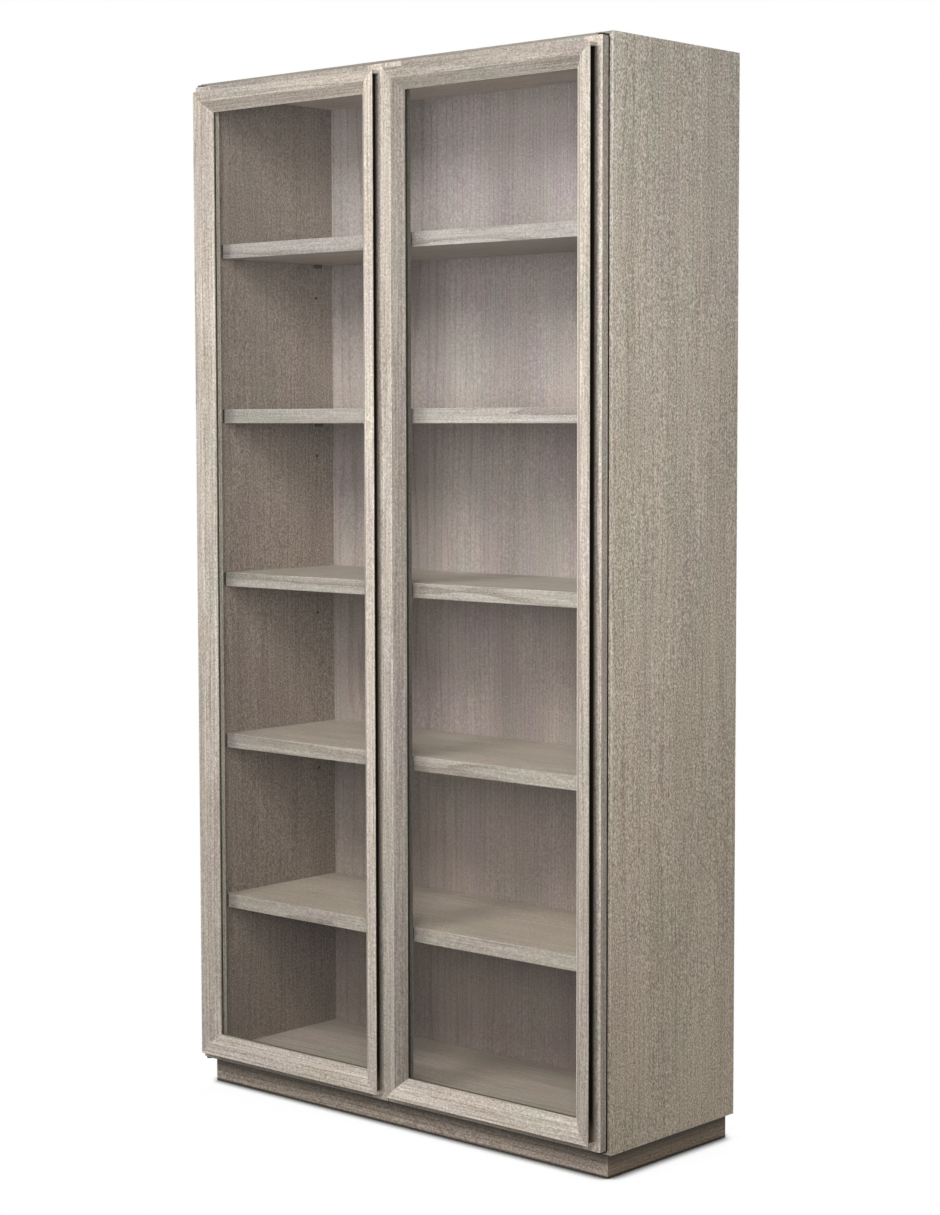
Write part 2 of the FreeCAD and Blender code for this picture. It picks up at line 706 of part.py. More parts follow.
def door_fittings(name, hand):
    """Catch plates and bumpers on the door's rear face, near the meeting edge."""
    plates = add(f"{name}_catch_plates")
    place_door_part(plates, hand)
    near = f"{-hand} * (door_half - strike_inset)"
    far = f"{-hand} * (door_half - strike_inset - strike_width)"
    bumpers = add(f"{name}_bumpers")
    place_door_part(bumpers, hand)
    for level, end in LEVELS:
        middle = f"({inner_level(level)} - {level} * catch_height / 2 - door_bottom)"
        corners = box(near, far, f"{middle} - strike_height / 2", f"{middle} + strike_height / 2")
        sketch = flat(plates, f"{end}_plate_outline", "XZ_Plane", "0", corners)
        pad(plates, f"{end}_plate", sketch, "strike_thickness", 1)
        height = f"(({inner_level(level)} - door_bottom + {from_end(level, '0')}) / 2)"
        near_pad = f"{-hand} * (door_half - bumper_inset + bumper_size / 2)"
        far_pad = f"{-hand} * (door_half - bumper_inset - bumper_size / 2)"
        corners = box(near_pad, far_pad, f"{height} - bumper_size / 2", f"{height} + bumper_size / 2")
        sketch = flat(bumpers, f"{end}_bumper_outline", "XZ_Plane", "0", corners)
        pad(bumpers, f"{end}_bumper", sketch, "bumper_length", 1)


def pivot_brackets():
    """Four angle brackets in the case's front edge, each with the pin that a door turns on."""
    body = add("pivot_brackets")
    place(body, y="pivot_y", z="door_bottom + door_height / 2")
    half = "bracket_width / 2"
    door_top = "door_height / 2"
    face = f"{door_top} + bracket_gap"
    tongue = box(f"pivot_x - {half}", f"pivot_x + {half}", "0", "pivot_to_case + bracket_thickness")
    sketch = flat(body, "tongue_outline", "XY_Plane", face, tongue)
    tongue = pad(body, "tongue", sketch, "bracket_thickness", 1)
    sketch = disc(body, "nose_outline", "XY_Plane", face, "pivot_x", "0", half)
    nose = pad(body, "nose", sketch, "bracket_thickness", 1)
    leg_top = f"{face} + bracket_thickness"
    leg = box(f"pivot_x - {half}", f"pivot_x + {half}", f"{door_top} - bracket_leg", leg_top)
    sketch = flat(body, "leg_outline", "XZ_Plane", "pivot_to_case", leg)
    leg = pad(body, "leg", sketch, "bracket_thickness", 1)
    sketch = disc(body, "pin_outline", "XY_Plane", face, "pivot_x", "0", "pin_radius")
    pin = pad(body, "pin", sketch, "bracket_gap + pin_length", -1)
    repeat(body, "four_brackets", [tongue, nose, leg, pin], [("YZ_Plane",), ("XY_Plane",)])


def pivot_bushes(label, side):
    """The flanged bushes in the two ends of a door's hinge stile."""
    body = add(label)
    place(body, x=f"{side} * pivot_x", y="pivot_y", z="door_bottom + door_height / 2")
    bore = "pin_radius + pivot_clearance"
    end = "door_height / 2"
    deep = f"{end} - bush_length"
    lip = f"{end} + bush_flange_thickness"
    profile = [
        (deep, bore), (deep, "bush_radius"), (end, "bush_radius"),
        (end, "bush_flange"), (lip, "bush_flange"), (lip, bore),
    ]
    sleeve = turned(body, "sleeve", "Z", ("0", "0", "0"), profile)
    repeat(body, "both_ends", [sleeve], [("XY_Plane",)])


def magnetic_catches():
    """A double magnetic catch under the top panel and one on the floor panel."""
    body = add("magnetic_catches")
    place(body, y="door_rear + catch_face")
    for level, end in LEVELS:
        inner = inner_level(level)
        corners = box("-catch_width / 2", "catch_width / 2", inner, f"{inner} - {level} * catch_height")
        sketch = flat(body, f"{end}_catch_outline", "XZ_Plane", "0", corners)
        pad(body, f"{end}_catch", sketch, "catch_depth", 1)


def door(hand, name):
    for edge, member in ((hand, "hinge_stile"), (-hand, "meeting_stile")):
        frame_stile(f"{name}_frame_{member}", hand, edge)
        face_stile(f"{name}_face_{member}", hand, edge)
    for level, member in ((-1, "bottom_rail"), (1, "top_rail")):
        frame_rail(f"{name}_frame_{member}", hand, level)
        face_rail(f"{name}_face_{member}", hand, level)
    door_glass(f"{name}_glass", hand)
    door_gasket(f"{name}_gasket", hand)
    door_fittings(name, hand)
    pivot_bushes(f"{name}_pivot_bushes", hand)


def check_document():
    """Stops if any feature failed or any sub-part's shape is missing or broken."""
    for item in doc.Objects:
        if {"Invalid", "Error"} & set(item.State):
            raise ValueError(f"{item.Name} ({item.Label}) is {item.State}")
    for body in nodes:
        if body.Shape.isNull() or not body.Shape.isValid() or not body.Shape.Solids:
            raise ValueError(f"{body.Label} has no valid solid")


def export():
    os.makedirs("parts", exist_ok=True)
    for body in nodes:
        body.Shape.exportStep(f"parts/{body.Label}.step")


def main():
    fill_sheet("Sizes", SIZES)
    fill_sheet("Places", [(alias, f"={bound(formula)}", "") for alias, formula in PLACES])
    for side, hand in SIDES:
        side_panel(f"{hand}_side_panel", side)
    level_panel("floor_panel", -1)
    level_panel("top_panel", 1)
    mitre_tongues()
    back_panel()
    plinth()
    for number in range(1, int(value("shelf_count")) + 1):
        shelf(number)
    for side, hand in SIDES:
        door(side, f"{hand}_door")
    pivot_brackets()
    magnetic_catches()
    doc.recompute()
    check_document()
    export()


main()
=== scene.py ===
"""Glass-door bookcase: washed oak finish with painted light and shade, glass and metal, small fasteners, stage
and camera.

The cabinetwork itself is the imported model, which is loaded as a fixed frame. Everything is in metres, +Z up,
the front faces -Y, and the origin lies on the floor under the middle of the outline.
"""

import functools
import math
from collections import namedtuple

import bpy
import numpy as np
from mathutils import Matrix, Vector


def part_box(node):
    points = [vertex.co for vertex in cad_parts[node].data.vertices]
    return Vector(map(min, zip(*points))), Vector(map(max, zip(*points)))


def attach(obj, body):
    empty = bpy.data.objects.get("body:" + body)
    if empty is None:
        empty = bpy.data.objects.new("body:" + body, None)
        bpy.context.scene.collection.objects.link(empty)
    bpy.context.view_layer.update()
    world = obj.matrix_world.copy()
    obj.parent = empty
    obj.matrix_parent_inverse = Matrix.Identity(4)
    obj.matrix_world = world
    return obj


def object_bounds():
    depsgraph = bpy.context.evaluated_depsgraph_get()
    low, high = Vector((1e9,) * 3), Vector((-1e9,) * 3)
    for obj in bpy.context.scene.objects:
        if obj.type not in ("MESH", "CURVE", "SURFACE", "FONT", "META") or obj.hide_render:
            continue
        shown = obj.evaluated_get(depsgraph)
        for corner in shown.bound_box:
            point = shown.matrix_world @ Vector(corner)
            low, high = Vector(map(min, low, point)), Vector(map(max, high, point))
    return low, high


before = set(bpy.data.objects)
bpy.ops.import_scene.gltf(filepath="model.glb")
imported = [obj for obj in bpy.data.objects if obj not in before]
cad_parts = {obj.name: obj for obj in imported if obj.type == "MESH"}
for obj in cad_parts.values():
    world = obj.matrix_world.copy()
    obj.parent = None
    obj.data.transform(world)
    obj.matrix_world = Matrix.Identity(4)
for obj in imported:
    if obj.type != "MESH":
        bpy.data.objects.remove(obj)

CAD_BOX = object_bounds()

bl_info = {
    "name": "Glass-door bookcase",
    "version": (1, 0, 0),
    "blender": (4, 5, 0),
    "location": "3D View > Sidebar > Bookcase",
    "description": "Washed oak finish, glass, metal, fasteners and stage for a glass-door bookcase",
    "category": "Object",
}

DOORS = ("left_door", "right_door")
SHELVES = range(1, 6)
OAK_COLOURS = ("Ground", "Shade", "Wash", "Pore", "Green", "Lilac")
OAK_AMOUNTS = ("Figure", "Dashes", "Streaks", "Bands")
TURN_TO_GRAIN = {
    "X": (0, -math.pi / 2, 0),
    "Y": (math.pi / 2, 0, 0),
    "Z": (0, 0, 0),
}
WHITE = (1, 1, 1)

# How near a board's face a point has to be to count as lying on it, and the same for an edge.
TOUCH = 0.0003
NEAR = 0.0004


def display_colour(red, green, blue):
    """The linear colour that a shader needs for a display colour given as 0 to 255."""
    c = np.array([red, green, blue]) / 255
    linear = np.where(c <= 0.04045, c / 12.92, ((c + 0.055) / 1.055) ** 2.4)
    return tuple(float(v) for v in linear)


def colour_property(name, description, colour):
    return bpy.props.FloatVectorProperty(
        name=name, description=description, subtype="COLOR", size=3, min=0, max=1,
        default=display_colour(*colour),
    )


def length_property(name, description, length):
    return bpy.props.FloatProperty(
        name=name, description=description, default=length, min=0, unit="LENGTH", precision=4
    )


def power_property(name, description, power):
    return bpy.props.FloatProperty(name=name, description=description, default=power, min=0, unit="POWER")


class BookcaseWood(bpy.types.PropertyGroup):
    """Colours and grain of the washed oak, and the colours that paint light and shade on it."""

    ground: colour_property("Ground", "Oak between the pores", (179, 169, 158))
    shade: colour_property("Shade", "Oak in the darker bands of the figure", (140, 130, 119))
    wash: colour_property("Wash", "Pale wash that stays in the grain", (211, 205, 197))
    pore: colour_property("Pore", "Open pores", (104, 92, 83))
    green: colour_property("Green cast", "Cool patches of the wash", (163, 164, 151))
    lilac: colour_property("Lilac cast", "Warm violet patches of the wash", (172, 158, 157))
    # Painted shade: the groove black stands for the deep shade in the finger grooves, whose wood is also
    # stained dark. It also paints the shelf slits' shadow and the peg holes' shade. The next colour is that
    # shade lifted at the grooves' foot, as if light from the floor reached in.
    stain: colour_property("Groove stain", "Black stain inside the finger grooves", (24, 18, 12))
    groove_foot_shade: colour_property("Worn stain", "Stain where it thins out at the groove's foot", (96, 80, 66))
    bare: colour_property("Bare oak", "Unfinished oak of tongues and blocks", (196, 170, 134))
    # Painted shade: the inside tones darken the sides' inner faces, more towards the floor.
    inside: colour_property(
        "Inside tone", "Scales the oak's colour on the sides' inner faces, at the top", (193, 188, 190)
    )
    inside_low: colour_property("Inside tone, low", "The same at the floor", (166, 160, 159))
    inside_calm: colour_property(
        "Inside ground", "Even colour that calms the figure high up inside", (168, 159, 147)
    )
    # Painted shadow: the doors' shadow on the case's front edges, and the plinth's painted shade.
    seam: colour_property("Seam", "Dark stain on the edges that face a joint or the glass", (36, 28, 20))
    # The paler arris line is partly wear and partly a painted highlight.
    arris: length_property("Worn arris", "Width of the paler line along an arris", 0.0012)


class BookcaseFittings(bpy.types.PropertyGroup):
    """Sizes and colours of screws, metal, plastic, glass and felt."""

    screw_head: length_property("Bracket screw", "Head diameter of a bracket screw", 0.0055)
    back_screw_head: length_property("Back screw", "Head diameter of a back panel screw", 0.007)
    frame_screw_head: length_property("Frame screw", "Head diameter of a door frame screw", 0.007)
    screw_pitch: length_property("Screw spacing", "Largest distance between two screws in a row", 0.32)
    steel: colour_property("Steel", "Plated steel", (176, 176, 172))
    black_steel: colour_property("Black steel", "Blackened bracket steel", (42, 41, 40))
    pewter: colour_property("Pewter", "Lacquer on the rear shelf supports", (66, 66, 62))
    pewter_front: colour_property("Front supports", "Lacquer on the front shelf supports", (120, 112, 104))
    plastic: colour_property("Plastic", "Dark moulded plastic", (46, 43, 40))
    nylon: colour_property("Nylon", "Pale nylon of the pivot bushes", (188, 184, 174))
    rubber: colour_property("Rubber", "Channel gasket round the glass", (58, 58, 54))
    felt: colour_property("Felt", "Bumper felt", (92, 84, 76))
    glass: colour_property("Glass", "Tint of the panes", (253, 253, 252))


class BookcaseStage(bpy.types.PropertyGroup):
    """Floor, lamps and camera."""

    floor: colour_property("Floor", "Pale floor", (200, 200, 198))
    floor_size: length_property("Floor size", "Width and depth of the floor", 60)
    contact: length_property("Contact shadow", "Reach of the dark line round the plinth's foot", 0.04)
    surround: bpy.props.FloatProperty(
        name="Surround", description="Brightness of the studio all round", default=0.04, min=0, max=1
    )
    key: power_property("Key lamp", "Power of the lamp high on the right", 68.5)
    front: power_property("Front lamp", "Power of the lamp high in front", 52.5)
    low: power_property("Low lamp", "Power of the narrow lamp lower on the right", 13.8)
    rear: power_property("Rear lamp", "Power of the lamp behind the case", 165)
    lens: bpy.props.FloatProperty(name="Lens", description="Focal length in mm", default=74.97, min=10)


def rgba(colour):
    return (*colour, 1.0)


def grey(level):
    return (level, level, level)


def warm(level):
    """A tint of the given level, a touch warmer than grey."""
    return (level, level * 0.99, level * 0.98)


class Wiring:
    """Adds nodes to one tree. Each method that makes a node gives back its output socket."""

    def __init__(self, tree):
        self.tree = tree

    def link(self, source, target):
        self.tree.links.new(source, target)

    def feed(self, node, inputs):
        """Links each input that is given a socket, and sets each one that is given a value."""
        for key, value in inputs.items():
            if isinstance(value, bpy.types.NodeSocket):
                self.link(value, node.inputs[key])
            else:
                node.inputs[key].default_value = value

    def node(self, kind, inputs=None, output=0, **settings):
        node = self.tree.nodes.new(kind)
        for key, value in settings.items():
            setattr(node, key, value)
        self.feed(node, inputs or {})
        return node.outputs[output]

    def group(self, tree, inputs):
        """Places a node group, and gives all its outputs."""
        node = self.tree.nodes.new("ShaderNodeGroup")
        node.node_tree = tree
        self.feed(node, inputs)
        return node.outputs

    def math(self, operation, *values, clamp=False):
        return self.node("ShaderNodeMath", dict(enumerate(values)), operation=operation, use_clamp=clamp)

    def vector_math(self, operation, *values):
        return self.node("ShaderNodeVectorMath", dict(enumerate(values)), operation=operation)

    def above(self, value, limit):
        """A mask of 1 where the value is greater than the limit."""
        return self.math("GREATER_THAN", value, limit)

    def below(self, value, limit):
        """A mask of 1 where the value is less than the limit."""
        return self.math("LESS_THAN", value, limit)

    def product(self, first, *others):
        """Values multiplied together, such as masks that all have to hold."""
        for other in others:
            first = self.math("MULTIPLY", first, other)
        return first

    def distance(self, value, middle):
        """How far a value is from the middle, whatever the side."""
        return self.math("ABSOLUTE", self.math("SUBTRACT", value, middle))

    def swing(self, noise, amount):
        """Noise of 0 to 1, moved to lie round nought and multiplied by amount."""
        return self.math("MULTIPLY", self.math("SUBTRACT", noise, 0.5), amount)

    def mix(self, amount, first, second, blend="MIX"):
        inputs = {0: amount, 6: first, 7: second}
        return self.node("ShaderNodeMix", inputs, output=2, data_type="RGBA", blend_type=blend)

    def scaled(self, mask, colour, tone):
        """The colour, multiplied by the tone where the mask is 1."""
        return self.mix(mask, colour, self.mix(1.0, colour, rgba(tone), blend="MULTIPLY"))

    def step(self, value, low, high, to_low=0.0, to_high=1.0):
        """A smooth step of value from low to high."""
        inputs = {"Value": value, "From Min": low, "From Max": high, "To Min": to_low, "To Max": to_high}
        return self.node("ShaderNodeMapRange", inputs, interpolation_type="SMOOTHSTEP")

    def ramp(self, value, low, high):
        """A straight rise from 0 to 1 as value goes from low to high."""
        return self.node("ShaderNodeMapRange", {"Value": value, "From Min": low, "From Max": high})

    def noise(self, position, cells, detail=2.0, roughness=0.5, output=0):
        """Noise with that many cells to a metre along each axis."""
        stretched = self.vector_math("MULTIPLY", position, cells)
        inputs = {"Vector": stretched, "Scale": 1.0, "Detail": detail, "Roughness": roughness}
        return self.node("ShaderNodeTexNoise", inputs, output=output)

    def axes(self, position):
        """The X, Y and Z of a position."""
        node = self.tree.nodes.new("ShaderNodeSeparateXYZ")
        self.link(position, node.inputs[0])
        return node.outputs[0], node.outputs[1], node.outputs[2]

    def object_position(self):
        """The Object output of a Texture Coordinate node."""
        return self.node("ShaderNodeTexCoord", output=3)


def new_group(name, inputs, outputs):
    """A shader node group with its sockets. Gives its wiring, its input sockets and its output node's."""
    tree = bpy.data.node_groups.new(name, "ShaderNodeTree")
    for label, kind in inputs.items():
        tree.interface.new_socket(label, in_out="INPUT", socket_type="NodeSocket" + kind)
    for label, kind in outputs.items():
        tree.interface.new_socket(label, in_out="OUTPUT", socket_type="NodeSocket" + kind)
    entry = tree.nodes.new("NodeGroupInput")
    leave = tree.nodes.new("NodeGroupOutput")
    return Wiring(tree), entry.outputs, leave.inputs


@functools.cache
def washed_oak_group():
    """Oak with the grain along Z.

    Three noises stretched along Z add up to a tone: short dashes, long streaks and broad bands. A high tone
    takes the wash and a low one the shade. Rings round the Z axis, bent by slow noise, give the growth rings
    whose cut makes straight or arched figure. Pores crowd where a ring starts, and two slow noises tint the
    wash cool and violet.
    """
    w, entry, leave = new_group(
        "washed_oak",
        {"Position": "Vector", **dict.fromkeys(OAK_COLOURS, "Color"), **dict.fromkeys(OAK_AMOUNTS, "Float")},
        {"Color": "Color", "Roughness": "Float", "Height": "Float"},
    )
    position = entry["Position"]
    sway_cells = (2.6, 2.6, 1.1)
    sway_reach = (0.016, 0.016, 0.0)
    sway = w.vector_math("SUBTRACT", w.noise(position, sway_cells, detail=1.0, output=1), grey(0.5))
    bent = w.vector_math("ADD", position, w.vector_math("MULTIPLY", sway, sway_reach))

    taper = (1, 1, 0.055)
    ring = w.node(
        "ShaderNodeTexWave",
        {"Vector": w.vector_math("MULTIPLY", bent, taper), "Scale": 44.0, "Distortion": 7.0, "Detail": 2.0,
         "Detail Scale": 0.55, "Detail Roughness": 0.55},
        output=1, wave_type="RINGS", rings_direction="Z", wave_profile="SAW",
    )
    ring_edge = (0.68, 1.0)
    ring_start = w.step(ring, *ring_edge)

    dash_cells = (300, 300, 210)
    streak_cells = (250, 250, 6)
    band_cells = (26, 26, 1.8)
    dash_strength = 2.4
    dash = w.noise(bent, dash_cells, detail=1.0, roughness=0.6)
    streak = w.noise(bent, streak_cells, detail=2.0, roughness=0.6)
    band = w.noise(bent, band_cells, detail=2.0)
    strong = w.math("MULTIPLY", entry["Dashes"], dash_strength)
    tone = w.math("ADD", w.swing(dash, strong), w.swing(streak, entry["Streaks"]))
    tone = w.math("ADD", tone, w.swing(band, entry["Bands"]))
    tone = w.math("SUBTRACT", tone, w.math("MULTIPLY", ring_start, entry["Figure"]))

    green_cells = (15, 15, 6)
    lilac_cells = (13, 13, 5)
    lilac_offset = (3, 5, 9)
    cast_range = (0.5, 0.72, 0.0, 0.6)
    full_tone = 0.5
    green = w.noise(bent, green_cells, detail=1.0)
    colour = w.mix(w.step(green, *cast_range), entry["Ground"], entry["Green"])
    lilac = w.noise(w.vector_math("ADD", bent, lilac_offset), lilac_cells, detail=1.0)
    colour = w.mix(w.step(lilac, *cast_range), colour, entry["Lilac"])
    wash = w.ramp(tone, 0.0, full_tone)
    colour = w.mix(wash, colour, entry["Wash"])
    colour = w.mix(w.ramp(tone, 0.0, -full_tone), colour, entry["Shade"])

    pore_cells = (420, 420, 60)
    pore_range = (0.6, 0.7)
    crowding = 0.5
    least_crowd = 0.4
    pores = w.step(w.noise(bent, pore_cells, detail=1.0), *pore_range)
    crowd = w.math("MULTIPLY_ADD", ring_start, crowding, least_crowd)
    pores = w.math("MULTIPLY", w.math("MULTIPLY", pores, crowd), entry["Dashes"], clamp=True)
    w.link(w.mix(pores, colour, entry["Pore"]), leave["Color"])

    plain_roughness = 0.5
    wash_roughness = 0.12
    pore_roughness = 0.2
    dash_height = 0.35
    rough = w.math("MULTIPLY_ADD", wash, wash_roughness, plain_roughness)
    w.link(w.math("MULTIPLY_ADD", pores, pore_roughness, rough), leave["Roughness"])
    w.link(w.math("SUBTRACT", w.math("MULTIPLY", dash, dash_height), pores), leave["Height"])
    return w.tree


@functools.cache
def arris_wear_and_highlight_group():
    """A mask for the edges of a box-shaped board, where the oak takes a paler line that is partly wear and
    partly a painted highlight.

    The distances to the board's nearest face along X, Y and Z are sorted, and the second smallest is the
    distance to the nearest edge, because on a face the smallest is nought. Noise breaks the line up.
    """
    w, entry, leave = new_group(
        "worn_arris",
        {"Position": "Vector", "Centre": "Vector", "Half": "Vector", "Width": "Float"},
        {"Mask": "Float"},
    )
    rub_cells = (40, 40, 40)
    rub_swing = 1.6
    least_rub = 0.3
    offset = w.vector_math("ABSOLUTE", w.vector_math("SUBTRACT", entry["Position"], entry["Centre"]))
    x, y, z = w.axes(w.vector_math("SUBTRACT", entry["Half"], offset))
    low = w.math("MINIMUM", x, y)
    high = w.math("MAXIMUM", x, y)
    second = w.math("MAXIMUM", low, w.math("MINIMUM", high, z))
    rub = w.noise(entry["Position"], rub_cells, detail=2.0)
    reach = w.math("MULTIPLY", entry["Width"], w.math("MULTIPLY_ADD", rub, rub_swing, least_rub))
    w.link(w.math("SUBTRACT", 1.0, w.math("DIVIDE", second, reach), clamp=True), leave["Mask"])
    return w.tree


@functools.cache
def groove_shade_and_stain_group():
    """A mask for the painted shade deep in the finger grooves, whose wood is also stained dark, and one for
    how far that shade lifts at their foot, as if light from the floor reached in.

    Outer and Inner hold three distances from the door pair's middle, whatever the side. The outer groove's
    shade starts at the first, is full up to the second and has faded at the third, and the inner groove's is
    the mirror image. A point counts when its depth lies between Front and Rear and its height between Foot
    and Head.
    """
    w, entry, leave = new_group(
        "groove_stain",
        {"Position": "Vector", "Front": "Float", "Rear": "Float", "Foot": "Float", "Head": "Float",
         "Outer": "Vector", "Inner": "Vector"},
        {"Mask": "Float", "Thin": "Float"},
    )
    foot_lift = 0.05
    x, y, z = w.axes(entry["Position"])
    side = w.math("ABSOLUTE", x)
    outer = w.axes(entry["Outer"])
    inner = w.axes(entry["Inner"])
    outer_groove_shade = w.product(w.above(side, outer[0]), w.ramp(side, outer[2], outer[1]))
    inner_groove_shade = w.product(w.below(side, inner[2]), w.ramp(side, inner[0], inner[1]))
    across = w.math("MAXIMUM", outer_groove_shade, inner_groove_shade)
    along = w.product(w.above(z, entry["Foot"]), w.below(z, entry["Head"]))
    deep = w.product(w.above(y, entry["Front"]), w.below(y, entry["Rear"]))
    w.link(w.product(across, along, deep), leave["Mask"])
    w.link(w.step(w.math("SUBTRACT", z, entry["Foot"]), 0.0, foot_lift, 1.0, 0.0), leave["Thin"])
    return w.tree


@functools.cache
def spare_holes_group():
    """A mask for the spare peg holes under each shelf: discs in one row, repeated at the shelf spacing."""
    w, entry, leave = new_group(
        "spare_holes",
        {"Position": "Vector", "Inside": "Float", "First": "Float", "Spacing": "Float", "Row": "Float",
         "Radius": "Float"},
        {"Mask": "Float"},
    )
    x, y, z = w.axes(entry["Position"])
    place = w.math("DIVIDE", w.math("SUBTRACT", z, entry["First"]), entry["Spacing"])
    up = w.math("MULTIPLY", w.math("SUBTRACT", place, w.math("ROUND", place)), entry["Spacing"])
    across = w.math("SUBTRACT", y, entry["Row"])
    reach = w.math("SQRT", w.math("MULTIPLY_ADD", up, up, w.math("MULTIPLY", across, across)))
    disc = w.below(reach, entry["Radius"])
    rows = w.product(w.above(place, -0.5), w.below(place, len(SHELVES) - 0.5))
    inner = w.below(w.math("ABSOLUTE", x), entry["Inside"])
    w.link(w.product(disc, rows, inner), leave["Mask"])
    return w.tree


@functools.cache
def fine_grain_group():
    """A faint uneven surface for metal, plastic, rubber and felt: noise for colour, sheen and height."""
    w, entry, leave = new_group(
        "fine_grain",
        {"Position": "Vector", "Color": "Color", "Scale": "Float", "Contrast": "Float",
         "Roughness": "Float"},
        {"Color": "Color", "Roughness": "Float", "Height": "Float"},
    )
    dark_tone = grey(0.55)
    dark_swing = 1.6
    dark_share = 0.2
    rough_swing = 0.5
    inputs = {"Vector": entry["Position"], "Scale": entry["Scale"], "Detail": 3.0, "Roughness": 0.6}
    grain = w.node("ShaderNodeTexNoise", inputs)
    swing = w.swing(grain, entry["Contrast"])
    amount = w.math("MULTIPLY_ADD", swing, dark_swing, dark_share, clamp=True)
    w.link(w.scaled(amount, entry["Color"], dark_tone), leave["Color"])
    rough = w.math("MULTIPLY_ADD", swing, rough_swing, entry["Roughness"], clamp=True)
    w.link(rough, leave["Roughness"])
    w.link(grain, leave["Height"])
    return w.tree


def new_material(name):
    """A material with a Principled shader. Gives it, its wiring, the shader and the Object coordinates."""
    material = bpy.data.materials.new(name)
    material.use_nodes = True
    wiring = Wiring(material.node_tree)
    shader = material.node_tree.nodes["Principled BSDF"]
    return material, wiring, shader, wiring.object_position()


def finish_surface(wiring, shader, colour, roughness, height, depth, strength):
    """Feeds colour and roughness into a shader, and height through a Bump node into its normal."""
    bump = wiring.node("ShaderNodeBump", {"Strength": strength, "Distance": depth, "Height": height})
    wiring.feed(shader, {"Normal": bump, "Base Color": colour, "Roughness": roughness})


def oak_material(node, number, grain, tint, foot=WHITE, figure=0.3, dashes=1.0, streaks=0.6, bands=0.5,
                 pith=(0.03, 0.07), marks=None):
    """Washed oak for one board. The grain is turned to Z, and the board's middle is set off from the pith.

    number sets the board's own stretch of the log. tint scales its red, green and blue, partly as painted
    light and shade, and foot scales them once more towards the floor, as painted light and shade that change
    there. marks adds the board's painted light and shade and other marks: it takes the wiring, the position
    and the colour, and gives the new colour.
    """
    wood = bpy.context.scene.bookcase_wood
    stretch_length = 11.3
    arris_strength = 0.35
    gloss = 0.28
    bump_depth = 0.0005
    bump_strength = 0.4
    low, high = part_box(node)
    centre = (low + high) / 2
    material, w, shader, position = new_material(node + "_oak")
    turn = Matrix.Identity(3)
    for axis, angle in zip("XYZ", TURN_TO_GRAIN[grain]):
        turn = Matrix.Rotation(angle, 3, axis) @ turn
    offset = Vector((*pith, stretch_length * number)) - turn @ centre
    placing = {"Vector": position, "Location": offset, "Rotation": TURN_TO_GRAIN[grain]}
    turned = w.node("ShaderNodeMapping", placing)

    def tinted(colour):
        return rgba(tuple(min(1.0, c * t) for c, t in zip(colour, tint)))

    inputs = {label: tinted(getattr(wood, label.lower())) for label in OAK_COLOURS}
    inputs.update(zip(OAK_AMOUNTS, (figure, dashes, streaks, bands)))
    oak = w.group(washed_oak_group(), {"Position": turned, **inputs})
    edges = {"Position": position, "Centre": centre, "Half": (high - low) / 2, "Width": wood.arris}
    wear_and_light = w.group(arris_wear_and_highlight_group(), edges)
    # Paler line along the arrises: partly wear, partly a painted highlight.
    colour = w.mix(w.math("MULTIPLY", wear_and_light["Mask"], arris_strength), oak["Color"], tinted(wood.wash))
    _, _, z = w.axes(position)
    # Painted light and shade that change towards the floor, by the foot scales.
    colour = w.scaled(w.ramp(z, CAD_BOX[1][2], 0.0), colour, foot)
    if marks:
        colour = marks(w, position, colour)
    shader.inputs["Specular IOR Level"].default_value = gloss
    finish_surface(w, shader, colour, oak["Roughness"], oak["Height"], bump_depth, bump_strength)
    return material


def shaded_groove(w, position, colour):
    """Adds the grooves' painted shade, on wood also stained dark, to a door member's colour."""
    wood = bpy.context.scene.bookcase_wood
    plain_front = 0.0026
    plain_end = 0.0065
    rear_margin = 0.0002
    from_outer_edge = (-0.0143, -0.007, 0.0105)
    from_meeting_edge = (-0.0045, 0.0125, 0.0143)
    face_low, face_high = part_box("right_door_face_hinge_stile")
    meeting_low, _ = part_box("right_door_face_meeting_stile")
    stain = w.group(
        groove_shade_and_stain_group(),
        {"Position": position, "Front": face_low.y + plain_front, "Rear": face_high.y + rear_margin,
         "Foot": face_low.z + plain_end, "Head": face_high.z - plain_end,
         "Outer": [face_high.x + distance for distance in from_outer_edge],
         "Inner": [meeting_low.x + distance for distance in from_meeting_edge]},
    )
    # Painted shade, lifted at the grooves' foot as if light from the floor reached in.
    black = w.mix(stain["Thin"], rgba(wood.stain), rgba(wood.groove_foot_shade))
    return w.mix(stain["Mask"], colour, black)


def beyond_glass(w, position, door, margin):
    """How far a position lies outside a door's visible glass, which margin widens, and the position's Y."""
    gasket_overlap = 0.0085
    low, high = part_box(door + "_glass")
    middle = (low + high) / 2
    half = (high - low) / 2
    covered = gasket_overlap + margin
    x, y, z = w.axes(position)
    away_x = w.math("SUBTRACT", w.distance(x, middle.x), half.x - covered)
    away_z = w.math("SUBTRACT", w.distance(z, middle.z), half.z - covered)
    return w.math("MAXIMUM", away_x, away_z), y


